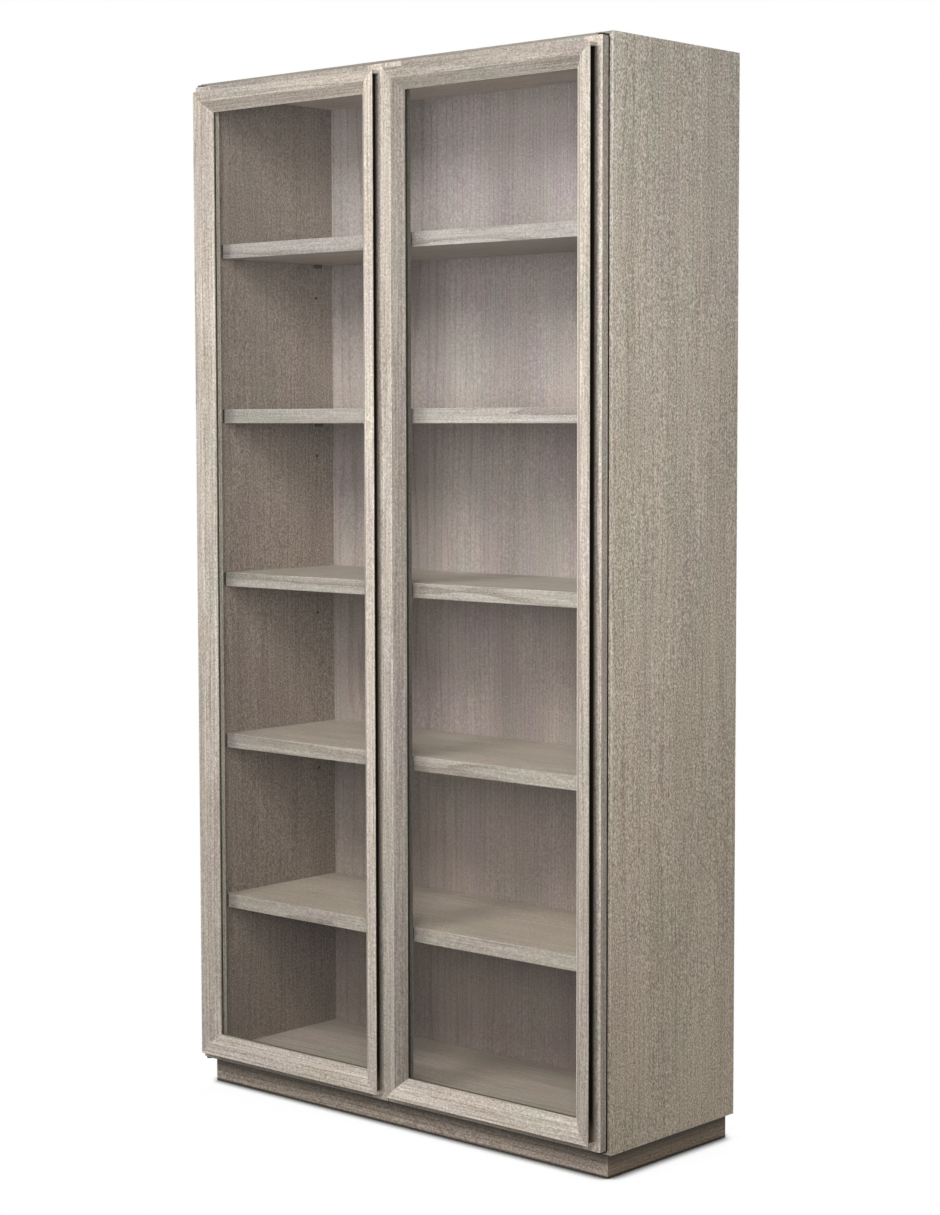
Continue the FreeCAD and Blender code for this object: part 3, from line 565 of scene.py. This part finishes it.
def moulding_light_and_shade(node, bevel, rim, lip):
    """Painted light and shade for a face frame member, which scale its colour on the bevel, the bevel's inner
    rim and the lip.

    The lip is the thin inner edge towards the glass. The ridge where the bevel starts gets a painted
    highlight, and the finger groove's painted shade is added too.
    """
    sight_step = 0.003
    bevel_width = 0.023
    ridge_place = bevel_width + 0.0005
    ridge_fade = (0.0025, 0.001)
    ridge_highlight = 1.14
    rim_fade = (0.006, 0.0035)
    lip_depth = 0.0203
    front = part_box(node)[0].y

    def marks(w, position, colour):
        away, y = beyond_glass(w, position, node.partition("_face_")[0], sight_step)
        sloped = w.product(w.below(away, bevel_width), w.above(y, front + TOUCH))
        # Painted light and shade: the bevel, the ridge's painted highlight, the inner rim and the lip are
        # scaled paler or darker.
        colour = w.scaled(sloped, colour, grey(bevel))
        ridge = w.ramp(w.distance(away, ridge_place), *ridge_fade)
        colour = w.scaled(ridge, colour, grey(ridge_highlight))
        wear_and_light = w.product(w.ramp(away, *rim_fade), sloped)
        colour = w.scaled(wear_and_light, colour, grey(rim))
        edge = w.product(w.below(away, NEAR), w.above(y, front + lip_depth))
        colour = w.scaled(edge, colour, grey(lip))
        return shaded_groove(w, position, colour)

    return marks


def carrying_light_and_shade(node, sight):
    """Painted shade on a carrying frame member: a darker outer edge, and sight darkens the edge round the
    glass.
    """
    green_cast = 1.04
    outer_edge_shade = 0.76
    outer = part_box("right_door_frame_hinge_stile")[1].x

    def marks(w, position, colour):
        away, _ = beyond_glass(w, position, node.partition("_frame_")[0], 0.0)
        # Painted shade on the edge round the glass, with a green cast, and on the outer edge.
        colour = w.scaled(w.below(away, NEAR), colour, (sight, sight * green_cast, sight))
        x, _, _ = w.axes(position)
        outside = w.above(w.math("ABSOLUTE", x), outer - TOUCH)
        colour = w.scaled(outside, colour, grey(outer_edge_shade))
        return shaded_groove(w, position, colour)

    return marks


def front_edge_shade(w, position, colour):
    """Darkens the case's front edges as painted shade, and paints the doors' shadow where they cover them."""
    wood = bpy.context.scene.bookcase_wood
    edge_depth = 0.0006
    edge_shade = (0.64, 0.66, 0.68)
    low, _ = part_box("left_door_frame_hinge_stile")
    _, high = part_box("right_door_frame_hinge_stile")
    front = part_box("right_side_panel")[0].y
    x, y, z = w.axes(position)
    facing = w.below(y, front + edge_depth)
    colour = w.scaled(facing, colour, edge_shade)
    across = w.below(w.math("ABSOLUTE", x), high.x)
    covered = w.product(across, w.above(z, low.z), w.below(z, high.z), facing)
    # The doors' painted shadow on the covered front edges.
    return w.mix(covered, colour, rgba(wood.seam))


def shelf_edge(w, position, colour):
    """A shelf's front edge, darkened and cooled as painted shade, with painted shadow slits at its ends and
    middle.
    """
    wood = bpy.context.scene.bookcase_wood
    edge_shade = (0.78, 0.8, 0.84)
    slit = 0.006
    middle_slit = 0.021
    shadow_depth = 0.9
    low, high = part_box("shelf_1")
    x, y, _ = w.axes(position)
    across = w.math("ABSOLUTE", x)
    facing = w.below(y, low.y + NEAR)
    colour = w.scaled(facing, colour, edge_shade)
    # Painted shadow slits at the shelf's ends and beside its middle.
    end = w.above(across, high.x - slit)
    middle = w.below(w.distance(across, middle_slit), slit / 2)
    dark = w.product(w.math("MAXIMUM", end, middle), facing, shadow_depth)
    return w.mix(dark, colour, rgba(wood.stain))


def plinth_shade(start, depth):
    """Marks for a plinth board: darker from start, a part of its height, up to the case, and at the foot."""
    foot_fade = (0.007, 0.003)
    foot_depth = 0.9

    def marks(w, position, colour):
        wood = bpy.context.scene.bookcase_wood
        _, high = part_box("plinth_front_board")
        _, _, z = w.axes(position)
        shade = w.step(z, start * high.z, high.z, 0.0, depth)
        foot = w.product(w.ramp(z, *foot_fade), foot_depth)
        return w.mix(w.math("MAXIMUM", shade, foot), colour, rgba(wood.seam))

    return marks


def ceiling_light(w, position, colour):
    """Painted light on the top panel's underside, paler than its outside, and its front edge's painted shade.
    """
    paler = (1.72, 1.77, 1.85)
    low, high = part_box("top_panel")
    _, _, z = w.axes(position)
    under = w.below(z, (low.z + high.z) / 2)
    return front_edge_shade(w, position, w.scaled(under, colour, paler))


def back_light(w, position, colour):
    """The back panel, made paler in the top compartment by painted light."""
    paler = (1.36, 1.36, 1.37)
    rise = (1.93, 2.21)
    _, _, z = w.axes(position)
    return w.scaled(w.ramp(z, *rise), colour, paler)


def side_panel_marks(w, position, colour):
    """Painted shade on a side panel's inner face and front edge, and dark painted discs for the spare peg
    holes.
    """
    wood = bpy.context.scene.bookcase_wood
    calm_range = (1.2, 2.0, 0.05, 0.3)
    low_tone_start = 1.5
    hole_drop = 0.0785
    hole_radius = 0.0036
    hole_shade = 0.92
    peg_radius = 0.0085
    inner_margin = 0.001
    first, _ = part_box("shelf_1")
    second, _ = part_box("shelf_2")
    _, supports_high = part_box("shelf_1_supports")
    inside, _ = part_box("right_side_panel")
    x, _, z = w.axes(position)
    inner = w.below(w.math("ABSOLUTE", x), inside.x + TOUCH)
    calm = w.product(inner, w.step(z, *calm_range))
    colour = w.mix(calm, colour, rgba(wood.inside_calm))
    # Painted shade on the inner faces, deeper towards the floor.
    tone = w.mix(w.ramp(z, low_tone_start, 0.0), rgba(wood.inside), rgba(wood.inside_low))
    colour = w.mix(inner, colour, w.mix(1.0, colour, tone, blend="MULTIPLY"))
    holes = w.group(
        spare_holes_group(),
        {"Position": position, "Inside": inside.x + inner_margin, "First": first.z - hole_drop,
         "Spacing": second.z - first.z, "Row": supports_high.y - peg_radius, "Radius": hole_radius},
    )
    # The spare peg holes, painted as dark discs for the shade inside them.
    colour = w.mix(w.product(holes["Mask"], hole_shade), colour, rgba(wood.stain))
    return front_edge_shade(w, position, colour)


def plain_material(
    name, colour, scale, roughness, contrast=0.4, metallic=0.0, depth=0.0001, strength=0.3, front=None
):
    """Metal, plastic, rubber or felt with a faint uneven surface.

    front is a second colour and the Y in front of which the pieces have it.
    """
    material, w, shader, position = new_material(name)
    base = rgba(colour)
    if front:
        _, y, _ = w.axes(position)
        base = w.mix(w.below(y, front[1]), rgba(colour), rgba(front[0]))
    grain = w.group(
        fine_grain_group(),
        {"Position": position, "Color": base, "Scale": scale, "Contrast": contrast, "Roughness": roughness},
    )
    shader.inputs["Metallic"].default_value = metallic
    finish_surface(w, shader, grain["Color"], grain["Roughness"], grain["Height"], depth, strength)
    return material


def glass_material():
    """Clear glass with a low-reflection coating: it mirrors a little, and lets the lamps' light through."""
    fittings = bpy.context.scene.bookcase_fittings
    coated_ior = 1.2
    material, w, shader, _ = new_material("clear_glass")
    settings = {"Base Color": rgba(fittings.glass), "Roughness": 0.0, "IOR": coated_ior,
                "Transmission Weight": 1.0}
    w.feed(shader, settings)
    light = material.node_tree.nodes.new("ShaderNodeLightPath")
    through = w.math("MAXIMUM", light.outputs["Is Shadow Ray"], light.outputs["Is Diffuse Ray"])
    clear = w.node("ShaderNodeBsdfTransparent", {"Color": rgba(fittings.glass)})
    surface = w.node("ShaderNodeMixShader", {0: through, 1: shader.outputs[0], 2: clear})
    w.feed(material.node_tree.nodes["Material Output"], {"Surface": surface})
    return material


def dress(names, material):
    """Gives the named nodes of the frame a material."""
    for name in names:
        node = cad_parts[name]
        if not node.material_slots:
            node.data.materials.append(material)
        for slot in node.material_slots:
            slot.link = "OBJECT"
            slot.material = material


def turned_screws(name, places, axis, diameter, rise, recess):
    """Plated screw heads as one mesh, each a domed disc with a pressed cross. axis is -1 or 1, for -Y or +Y.

    A point at distance r from a head's middle stands rise * (1 - fall * (r / radius) ** 2) proud, less the
    recess where it is inside one of the two crossing slots. A last ring runs down to the surface.
    """
    radius = diameter / 2
    rings = radius * np.array([0.14, 0.3, 0.44, 0.56, 0.66, 0.82, 0.94, 1.0, 1.0])
    sides = 24
    fall = 0.75
    half_slot = radius * 0.15
    long_slot = radius * 0.6
    r, a = np.meshgrid(rings, np.linspace(0, 2 * np.pi, sides, endpoint=False), indexing="ij")
    u = r * np.cos(a)
    v = r * np.sin(a)
    in_slot = (np.minimum(abs(u), abs(v)) < half_slot) & (np.maximum(abs(u), abs(v)) < long_slot)
    proud = rise * (1 - fall * (r / radius) ** 2) - recess * in_slot
    proud[-1] = 0.0
    hub = [[0, axis * (rise - recess), 0]]
    head = np.concatenate([hub, np.stack([u, axis * proud, -axis * v], axis=-1).reshape(-1, 3)])
    points = (np.array(places)[:, None, :] + head).reshape(-1, 3)

    i, j = np.meshgrid(np.arange(len(rings) - 1), np.arange(sides), indexing="ij")
    k = (j + 1) % sides
    inner = 1 + i * sides
    outer = inner + sides
    quads = np.stack([inner + j, outer + j, outer + k, inner + k], axis=-1).reshape(-1, 4)
    fan = np.stack([np.zeros(sides, int), 1 + j[0], 1 + k[0]], axis=-1)
    faces = []
    for start in range(0, len(points), len(head)):
        faces += (quads + start).tolist() + (fan + start).tolist()
    mesh = bpy.data.meshes.new(name)
    mesh.from_pydata(points, [], faces)
    mesh.update()
    mesh.materials.append(bpy.data.materials["plated_steel"])
    screws = bpy.data.objects.new(name, mesh)
    bpy.context.scene.collection.objects.link(screws)
    return screws


def spread(low, high, pitch):
    """Evenly spaced places from low to high, no more than pitch apart."""
    return np.linspace(low, high, max(2, math.ceil((high - low) / pitch) + 1))


class BOOKCASE_OT_case(bpy.types.Operator):
    """Washed oak with painted light and shade on the case, the back panel, the plinth and the shelves"""

    bl_idname = "bookcase.finish_case"
    bl_label = "Case finish"

    def execute(self, context):
        # The tints and foot scales below are partly the oak's tone and partly painted light and shade: the
        # plinth's end boards are darkened as shade, the sides and back darken towards the floor and the
        # shelves grow paler there.
        side = dict(grain="Z", tint=(1.22, 1.21, 1.17), foot=(0.88, 0.83, 0.76), figure=0.2, dashes=1.05,
                    streaks=0.65, pith=(0.5, 0.3), marks=side_panel_marks)
        panel = dict(grain="X", dashes=0.4, streaks=0.7, pith=(0.3, 0.2))
        top = dict(panel, tint=(0.86, 0.85, 0.83), marks=ceiling_light)
        floor = dict(panel, tint=(1.0, 0.96, 0.92), marks=front_edge_shade)
        back = dict(grain="Z", tint=(0.925, 0.94, 1.045), foot=(0.87, 0.78, 0.7), figure=0.2, dashes=0.45,
                    streaks=0.22, bands=0.35, pith=(0.4, 0.5), marks=back_light)
        plinth = dict(figure=0.5, pith=(0.05, 0.08))
        long_board = dict(
            plinth, grain="X", tint=(0.92, 0.86, 0.81), marks=plinth_shade(start=0.3, depth=0.85))
        short_board = dict(
            plinth, grain="Y", tint=(0.5, 0.42, 0.33), marks=plinth_shade(start=0.25, depth=0.97))
        shelf = dict(grain="X", tint=(0.96, 0.98, 1.02), foot=(1.22, 1.15, 1.02), figure=0.35, dashes=0.5,
                     streaks=0.9, bands=0.3, marks=shelf_edge)
        boards = {
            "left_side_panel": side,
            "right_side_panel": side,
            "top_panel": top,
            "floor_panel": floor,
            "back_panel": back,
            "plinth_front_board": long_board,
            "plinth_back_board": long_board,
            "plinth_left_board": short_board,
            "plinth_right_board": short_board,
        }
        # The shelves are neighbouring boards, whose growth rings are nearly flat.
        for level in SHELVES:
            boards[f"shelf_{level}"] = dict(shelf, pith=(0.004 * level - 0.01, 0.225 + 0.01 * level))
        for number, (board, finish) in enumerate(boards.items(), start=1):
            dress([board], oak_material(board, number, **finish))
        return {"FINISHED"}


MemberLightAndShade = namedtuple("MemberLightAndShade", "tint bevel rim lip sight rear")

# Painted light and shade on each door member, as scales of its colour: all of the face frame's member, then
# its bevel, the bevel's inner rim and its lip, then the carrying frame's edge round the glass, and all of the
# carrying frame's member. They paint light and shade rather than the oak's own colour.
MEMBER_LIGHT_AND_SHADE = {
    "left_door_hinge_stile": MemberLightAndShade(1.02, 0.87, 1.15, 0.5, 0.75, 1.05),
    "left_door_meeting_stile": MemberLightAndShade(1.13, 1.2, 1.5, 0.4, 0.42, 1.05),
    "left_door_bottom_rail": MemberLightAndShade(1.24, 0.95, 1.0, 0.9, 0.6, 0.66),
    "left_door_top_rail": MemberLightAndShade(0.85, 1.0, 1.1, 0.4, 0.42, 0.72),
    "right_door_hinge_stile": MemberLightAndShade(0.9, 1.35, 2.2, 0.4, 0.42, 1.05),
    "right_door_meeting_stile": MemberLightAndShade(0.91, 0.56, 1.0, 0.2, 0.25, 1.05),
    "right_door_bottom_rail": MemberLightAndShade(1.36, 0.9, 1.0, 0.9, 0.6, 0.66),
    "right_door_top_rail": MemberLightAndShade(0.67, 1.0, 1.1, 0.4, 0.42, 0.66),
}
FIRST_MEMBER = 31
REAR_FRAME_STEP = 40


class BOOKCASE_OT_doors(bpy.types.Operator):
    """Washed oak with painted light and shade on the face frames and the carrying frames, and glass in its
    gaskets
    """

    bl_idname = "bookcase.finish_doors"
    bl_label = "Door finish"

    def execute(self, context):
        fittings = context.scene.bookcase_fittings
        for number, (name, light_and_shade) in enumerate(MEMBER_LIGHT_AND_SHADE.items(), start=FIRST_MEMBER):
            door, _, member = name.partition("_door_")
            face = f"{door}_door_face_{member}"
            behind = f"{door}_door_frame_{member}"
            grain = "X" if member.endswith("rail") else "Z"
            # Each member is sawn a different distance from the pith.
            pith = (0.02 + 0.01 * (number % 3), 0.05 + 0.02 * (number % 4))
            dress([face], oak_material(
                face, number, grain, warm(light_and_shade.tint), pith=pith, dashes=0.6, streaks=1.15,
                marks=moulding_light_and_shade(face, light_and_shade.bevel, light_and_shade.rim, light_and_shade.lip)))
            dress([behind], oak_material(
                behind, number + REAR_FRAME_STEP, grain, warm(light_and_shade.rear), pith=pith, dashes=0.7,
                streaks=0.8, marks=carrying_light_and_shade(behind, light_and_shade.sight)))
        glass = glass_material()
        rubber = plain_material("channel_rubber", fittings.rubber, scale=900, roughness=0.62)
        for door in DOORS:
            dress([door + "_glass"], glass)
            dress([door + "_gasket"], rubber)
        return {"FINISHED"}


class BOOKCASE_OT_fittings(bpy.types.Operator):
    """Metal, plastic, felt and bare wood on the fittings and hidden blocks"""

    bl_idname = "bookcase.finish_fittings"
    bl_label = "Fittings"

    def execute(self, context):
        fittings = context.scene.bookcase_fittings
        wood = context.scene.bookcase_wood
        dress(["pivot_brackets"], plain_material(
            "black_steel", fittings.black_steel, scale=700, roughness=0.42, contrast=0.5, metallic=0.85))
        steel = plain_material("plated_steel", fittings.steel, scale=900, roughness=0.32, metallic=1.0)
        nylon = plain_material("nylon", fittings.nylon, scale=500, roughness=0.45, contrast=0.3)
        felt = plain_material(
            "felt", fittings.felt, scale=2600, roughness=0.9, contrast=1.0, depth=0.0004, strength=0.8)
        for door in DOORS:
            dress([door + "_catch_plates"], steel)
            dress([door + "_pivot_bushes"], nylon)
            dress([door + "_bumpers"], felt)
        dress(["magnetic_catches"], plain_material(
            "dark_plastic", fittings.plastic, scale=600, roughness=0.5))
        middle = 0.0
        pewter = plain_material(
            "dark_pewter", fittings.pewter, scale=700, roughness=0.45, front=(fittings.pewter_front, middle))
        dress([f"shelf_{level}_supports" for level in SHELVES], pewter)
        dress(["mitre_tongues", "plinth_corner_blocks"], plain_material(
            "bare_oak", wood.bare, scale=240, roughness=0.7, contrast=0.6, depth=0.0003, strength=0.4))
        return {"FINISHED"}


class BOOKCASE_OT_bracket_screws(bpy.types.Operator):
    """Two screws in the leg of each pivot bracket"""

    bl_idname = "bookcase.bracket_screws"
    bl_label = "Bracket screws"

    def execute(self, context):
        fittings = context.scene.bookcase_fittings
        low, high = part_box("pivot_brackets")
        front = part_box("right_side_panel")[0].y
        from_edge = 0.007
        near_end = 0.016
        far_end = 0.030
        across = high.x - from_edge
        heights = [low.z + near_end, low.z + far_end, high.z - near_end, high.z - far_end]
        places = [(side * across, front, z) for side in (-1, 1) for z in heights]
        screws = turned_screws(
            "bracket_screws", places, axis=-1, diameter=fittings.screw_head, rise=0.0009, recess=0.0006)
        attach(screws, "case")
        return {"FINISHED"}


class BOOKCASE_OT_back_screws(bpy.types.Operator):
    """Screws round the back panel's edge, seen from the rear"""

    bl_idname = "bookcase.back_screws"
    bl_label = "Back panel screws"

    def execute(self, context):
        fittings = context.scene.bookcase_fittings
        low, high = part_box("back_panel")
        inset = 0.0058
        upright_end = 0.06
        level_end = 0.12
        places = []
        for z in spread(low.z + upright_end, high.z - upright_end, fittings.screw_pitch):
            places += [(low.x + inset, high.y, z), (high.x - inset, high.y, z)]
        for x in spread(low.x + level_end, high.x - level_end, fittings.screw_pitch):
            places += [(x, high.y, low.z + inset), (x, high.y, high.z - inset)]
        screws = turned_screws(
            "back_screws", places, axis=1, diameter=fittings.back_screw_head, rise=0.0019, recess=0.0012)
        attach(screws, "case")
        return {"FINISHED"}


class BOOKCASE_OT_frame_screws(bpy.types.Operator):
    """Screws from each carrying frame's rear into the face frame"""

    bl_idname = "bookcase.frame_screws"
    bl_label = "Door frame screws"

    def execute(self, context):
        fittings = context.scene.bookcase_fittings
        stile_end = 0.09
        rail_end = 0.14
        rail_share = 0.6
        rail_pitch = fittings.screw_pitch * rail_share
        for door in DOORS:
            places = []
            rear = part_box(door + "_frame_meeting_stile")[1].y
            for member in ("hinge_stile", "meeting_stile"):
                low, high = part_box(f"{door}_face_{member}")
                for z in spread(low.z + stile_end, high.z - stile_end, fittings.screw_pitch):
                    places.append(((low.x + high.x) / 2, rear, z))
            for member in ("bottom_rail", "top_rail"):
                low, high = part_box(f"{door}_face_{member}")
                for x in spread(low.x + rail_end, high.x - rail_end, rail_pitch):
                    places.append((x, rear, (low.z + high.z) / 2))
            screws = turned_screws(
                door + "_frame_screws", places, axis=1, diameter=fittings.frame_screw_head, rise=0.0007,
                recess=0.0005)
            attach(screws, door)
        return {"FINISHED"}


class BOOKCASE_OT_stage(bpy.types.Operator):
    """Pale floor, white surround, four soft lamps and the camera"""

    bl_idname = "bookcase.stage"
    bl_label = "Stage and camera"

    def execute(self, context):
        settings = context.scene.bookcase_stage
        scene = context.scene
        scene.view_settings.view_transform = "Standard"
        self.lay_floor(scene, settings)
        self.light_surround(scene, settings)
        self.hang_lamp(scene, "key_lamp", settings.key, place=(1.85, -2.6, 3.1))
        self.hang_lamp(scene, "front_lamp", settings.front, place=(0, -2.7, 3.1))
        self.hang_lamp(scene, "low_lamp", settings.low, place=(2.4, -3.0, 1.8), spread=70, height=1.4)
        self.hang_lamp(scene, "rear_lamp", settings.rear, place=(-2.0, 3.8, 2.4), size=2.0)
        self.set_camera(scene, settings)
        return {"FINISHED"}

    @staticmethod
    def seen_white(w):
        """1 for rays that show a background directly: from the camera, off gloss and through glass."""
        light = w.tree.nodes.new("ShaderNodeLightPath")
        seen = w.math("ADD", light.outputs["Is Camera Ray"], light.outputs["Is Glossy Ray"])
        return w.math("ADD", seen, light.outputs["Is Transmission Ray"], clamp=True)

    def lay_floor(self, scene, settings):
        """A flat sheet, pale near the case and white further out, with a dark line at the plinth's foot."""
        seen_tone = grey(1.36)
        fade_range = (-0.5, 0.12)
        contact_range = (0.5, 0.92, 0.02, 1.0)
        contact_rays = 8
        overhead = 10
        half = settings.floor_size / 2
        corners = np.array([(-half, -half, 0), (half, -half, 0), (half, half, 0), (-half, half, 0)])
        mesh = bpy.data.meshes.new("studio_floor")
        mesh.from_pydata(corners, [], [(0, 1, 2, 3)])
        floor = bpy.data.objects.new("studio_floor", mesh)
        scene.collection.objects.link(floor)
        material = bpy.data.materials.new("studio_floor")
        material.use_nodes = True
        material.node_tree.nodes.clear()
        w = Wiring(material.node_tree)
        low, high = CAD_BOX
        middle = ((low[0] + high[0]) / 2, (low[1] + high[1]) / 2, 0)
        half_box = ((high[0] - low[0]) / 2, (high[1] - low[1]) / 2, overhead)
        beyond = w.vector_math("ABSOLUTE", w.vector_math("SUBTRACT", w.object_position(), middle))
        beyond = w.vector_math("MAXIMUM", w.vector_math("SUBTRACT", beyond, half_box), (0, 0, 0))
        away = w.node("ShaderNodeVectorMath", {0: beyond}, output=1, operation="LENGTH")
        seen = self.seen_white(w)
        pale = w.mix(seen, rgba(settings.floor), rgba(seen_tone))
        near = w.node("ShaderNodeBsdfDiffuse", {"Color": pale})
        open_air = w.node(
            "ShaderNodeAmbientOcclusion", {"Distance": settings.contact}, output=1, samples=contact_rays)
        contact = w.step(open_air, *contact_range)
        white = w.node("ShaderNodeEmission", {"Color": rgba(WHITE), "Strength": contact})
        fade = w.math("MULTIPLY", w.step(away, *fade_range), seen)
        surface = w.node("ShaderNodeMixShader", {0: fade, 1: near, 2: white})
        w.feed(material.node_tree.nodes.new("ShaderNodeOutputMaterial"), {"Surface": surface})
        mesh.materials.append(material)

    def light_surround(self, scene, settings):
        """A surround that shows white, and that lights the case only a little."""
        world = bpy.data.worlds.new("studio")
        scene.world = world
        world.use_nodes = True
        w = Wiring(world.node_tree)
        strength = w.math("MULTIPLY_ADD", self.seen_white(w), 1 - settings.surround, settings.surround)
        w.feed(world.node_tree.nodes["Background"], {"Color": rgba(WHITE), "Strength": strength})

    @staticmethod
    def hang_lamp(scene, name, power, place, size=1.2, spread=180, height=1.1):
        """A square lamp, turned to a height over the case's middle. spread is its beam in degrees.

        It shows neither in glossy surfaces nor in the panes, which keeps its glare off the case and doors.
        """
        lamp = bpy.data.lights.new(name, "AREA")
        lamp.energy = power
        lamp.size = size
        lamp.spread = math.radians(spread)
        holder = bpy.data.objects.new(name, lamp)
        holder.visible_glossy = False
        holder.visible_transmission = False
        holder.location = place
        aim = Vector((0, 0, height))
        holder.rotation_euler = (Vector(place) - aim).to_track_quat("Z", "Y").to_euler()
        scene.collection.objects.link(holder)

    @staticmethod
    def set_camera(scene, settings):
        """A camera in front of the case and to its right."""
        place = Matrix.Translation((3.71751, -4.09547, 1.53338))
        turn = Matrix.Rotation(math.radians(41.839), 4, "Z")
        tilt = Matrix.Rotation(math.radians(85.719), 4, "X")
        roll = Matrix.Rotation(math.radians(-0.097), 4, "Z")
        lens = bpy.data.cameras.new("camera")
        lens.sensor_fit = "VERTICAL"
        lens.sensor_height = 36
        lens.lens = settings.lens
        camera = bpy.data.objects.new("camera", lens)
        camera.matrix_world = place @ turn @ tilt @ roll
        scene.collection.objects.link(camera)
        scene.camera = camera


class BOOKCASE_PT_sidebar(bpy.types.Panel):
    """Lists the settings and the pieces in the order they are made"""

    bl_label = "Glass-door bookcase"
    bl_idname = "BOOKCASE_PT_sidebar"
    bl_space_type = "VIEW_3D"
    bl_region_type = "UI"
    bl_category = "Bookcase"

    def draw(self, context):
        for group in SETTINGS:
            settings = getattr(context.scene, group)
            box = self.layout.box()
            for name in settings.__annotations__:
                box.prop(settings, name)
        for operator in OPERATORS:
            self.layout.operator(operator.bl_idname)


SETTINGS = {
    "bookcase_wood": BookcaseWood,
    "bookcase_fittings": BookcaseFittings,
    "bookcase_stage": BookcaseStage,
}
OPERATORS = (
    BOOKCASE_OT_case,
    BOOKCASE_OT_doors,
    BOOKCASE_OT_fittings,
    BOOKCASE_OT_bracket_screws,
    BOOKCASE_OT_back_screws,
    BOOKCASE_OT_frame_screws,
    BOOKCASE_OT_stage,
)


def register():
    for name, group in SETTINGS.items():
        bpy.utils.register_class(group)
        setattr(bpy.types.Scene, name, bpy.props.PointerProperty(type=group))
    for operator in OPERATORS:
        bpy.utils.register_class(operator)
    bpy.utils.register_class(BOOKCASE_PT_sidebar)


def unregister():
    bpy.utils.unregister_class(BOOKCASE_PT_sidebar)
    for operator in reversed(OPERATORS):
        bpy.utils.unregister_class(operator)
    for name, group in reversed(SETTINGS.items()):
        delattr(bpy.types.Scene, name)
        bpy.utils.unregister_class(group)


def main():
    register()
    bpy.ops.bookcase.finish_case()
    bpy.ops.bookcase.finish_doors()
    bpy.ops.bookcase.finish_fittings()
    bpy.ops.bookcase.bracket_screws()
    bpy.ops.bookcase.back_screws()
    bpy.ops.bookcase.frame_screws()
    bpy.ops.bookcase.stage()


if __name__ == "__main__":
    main()
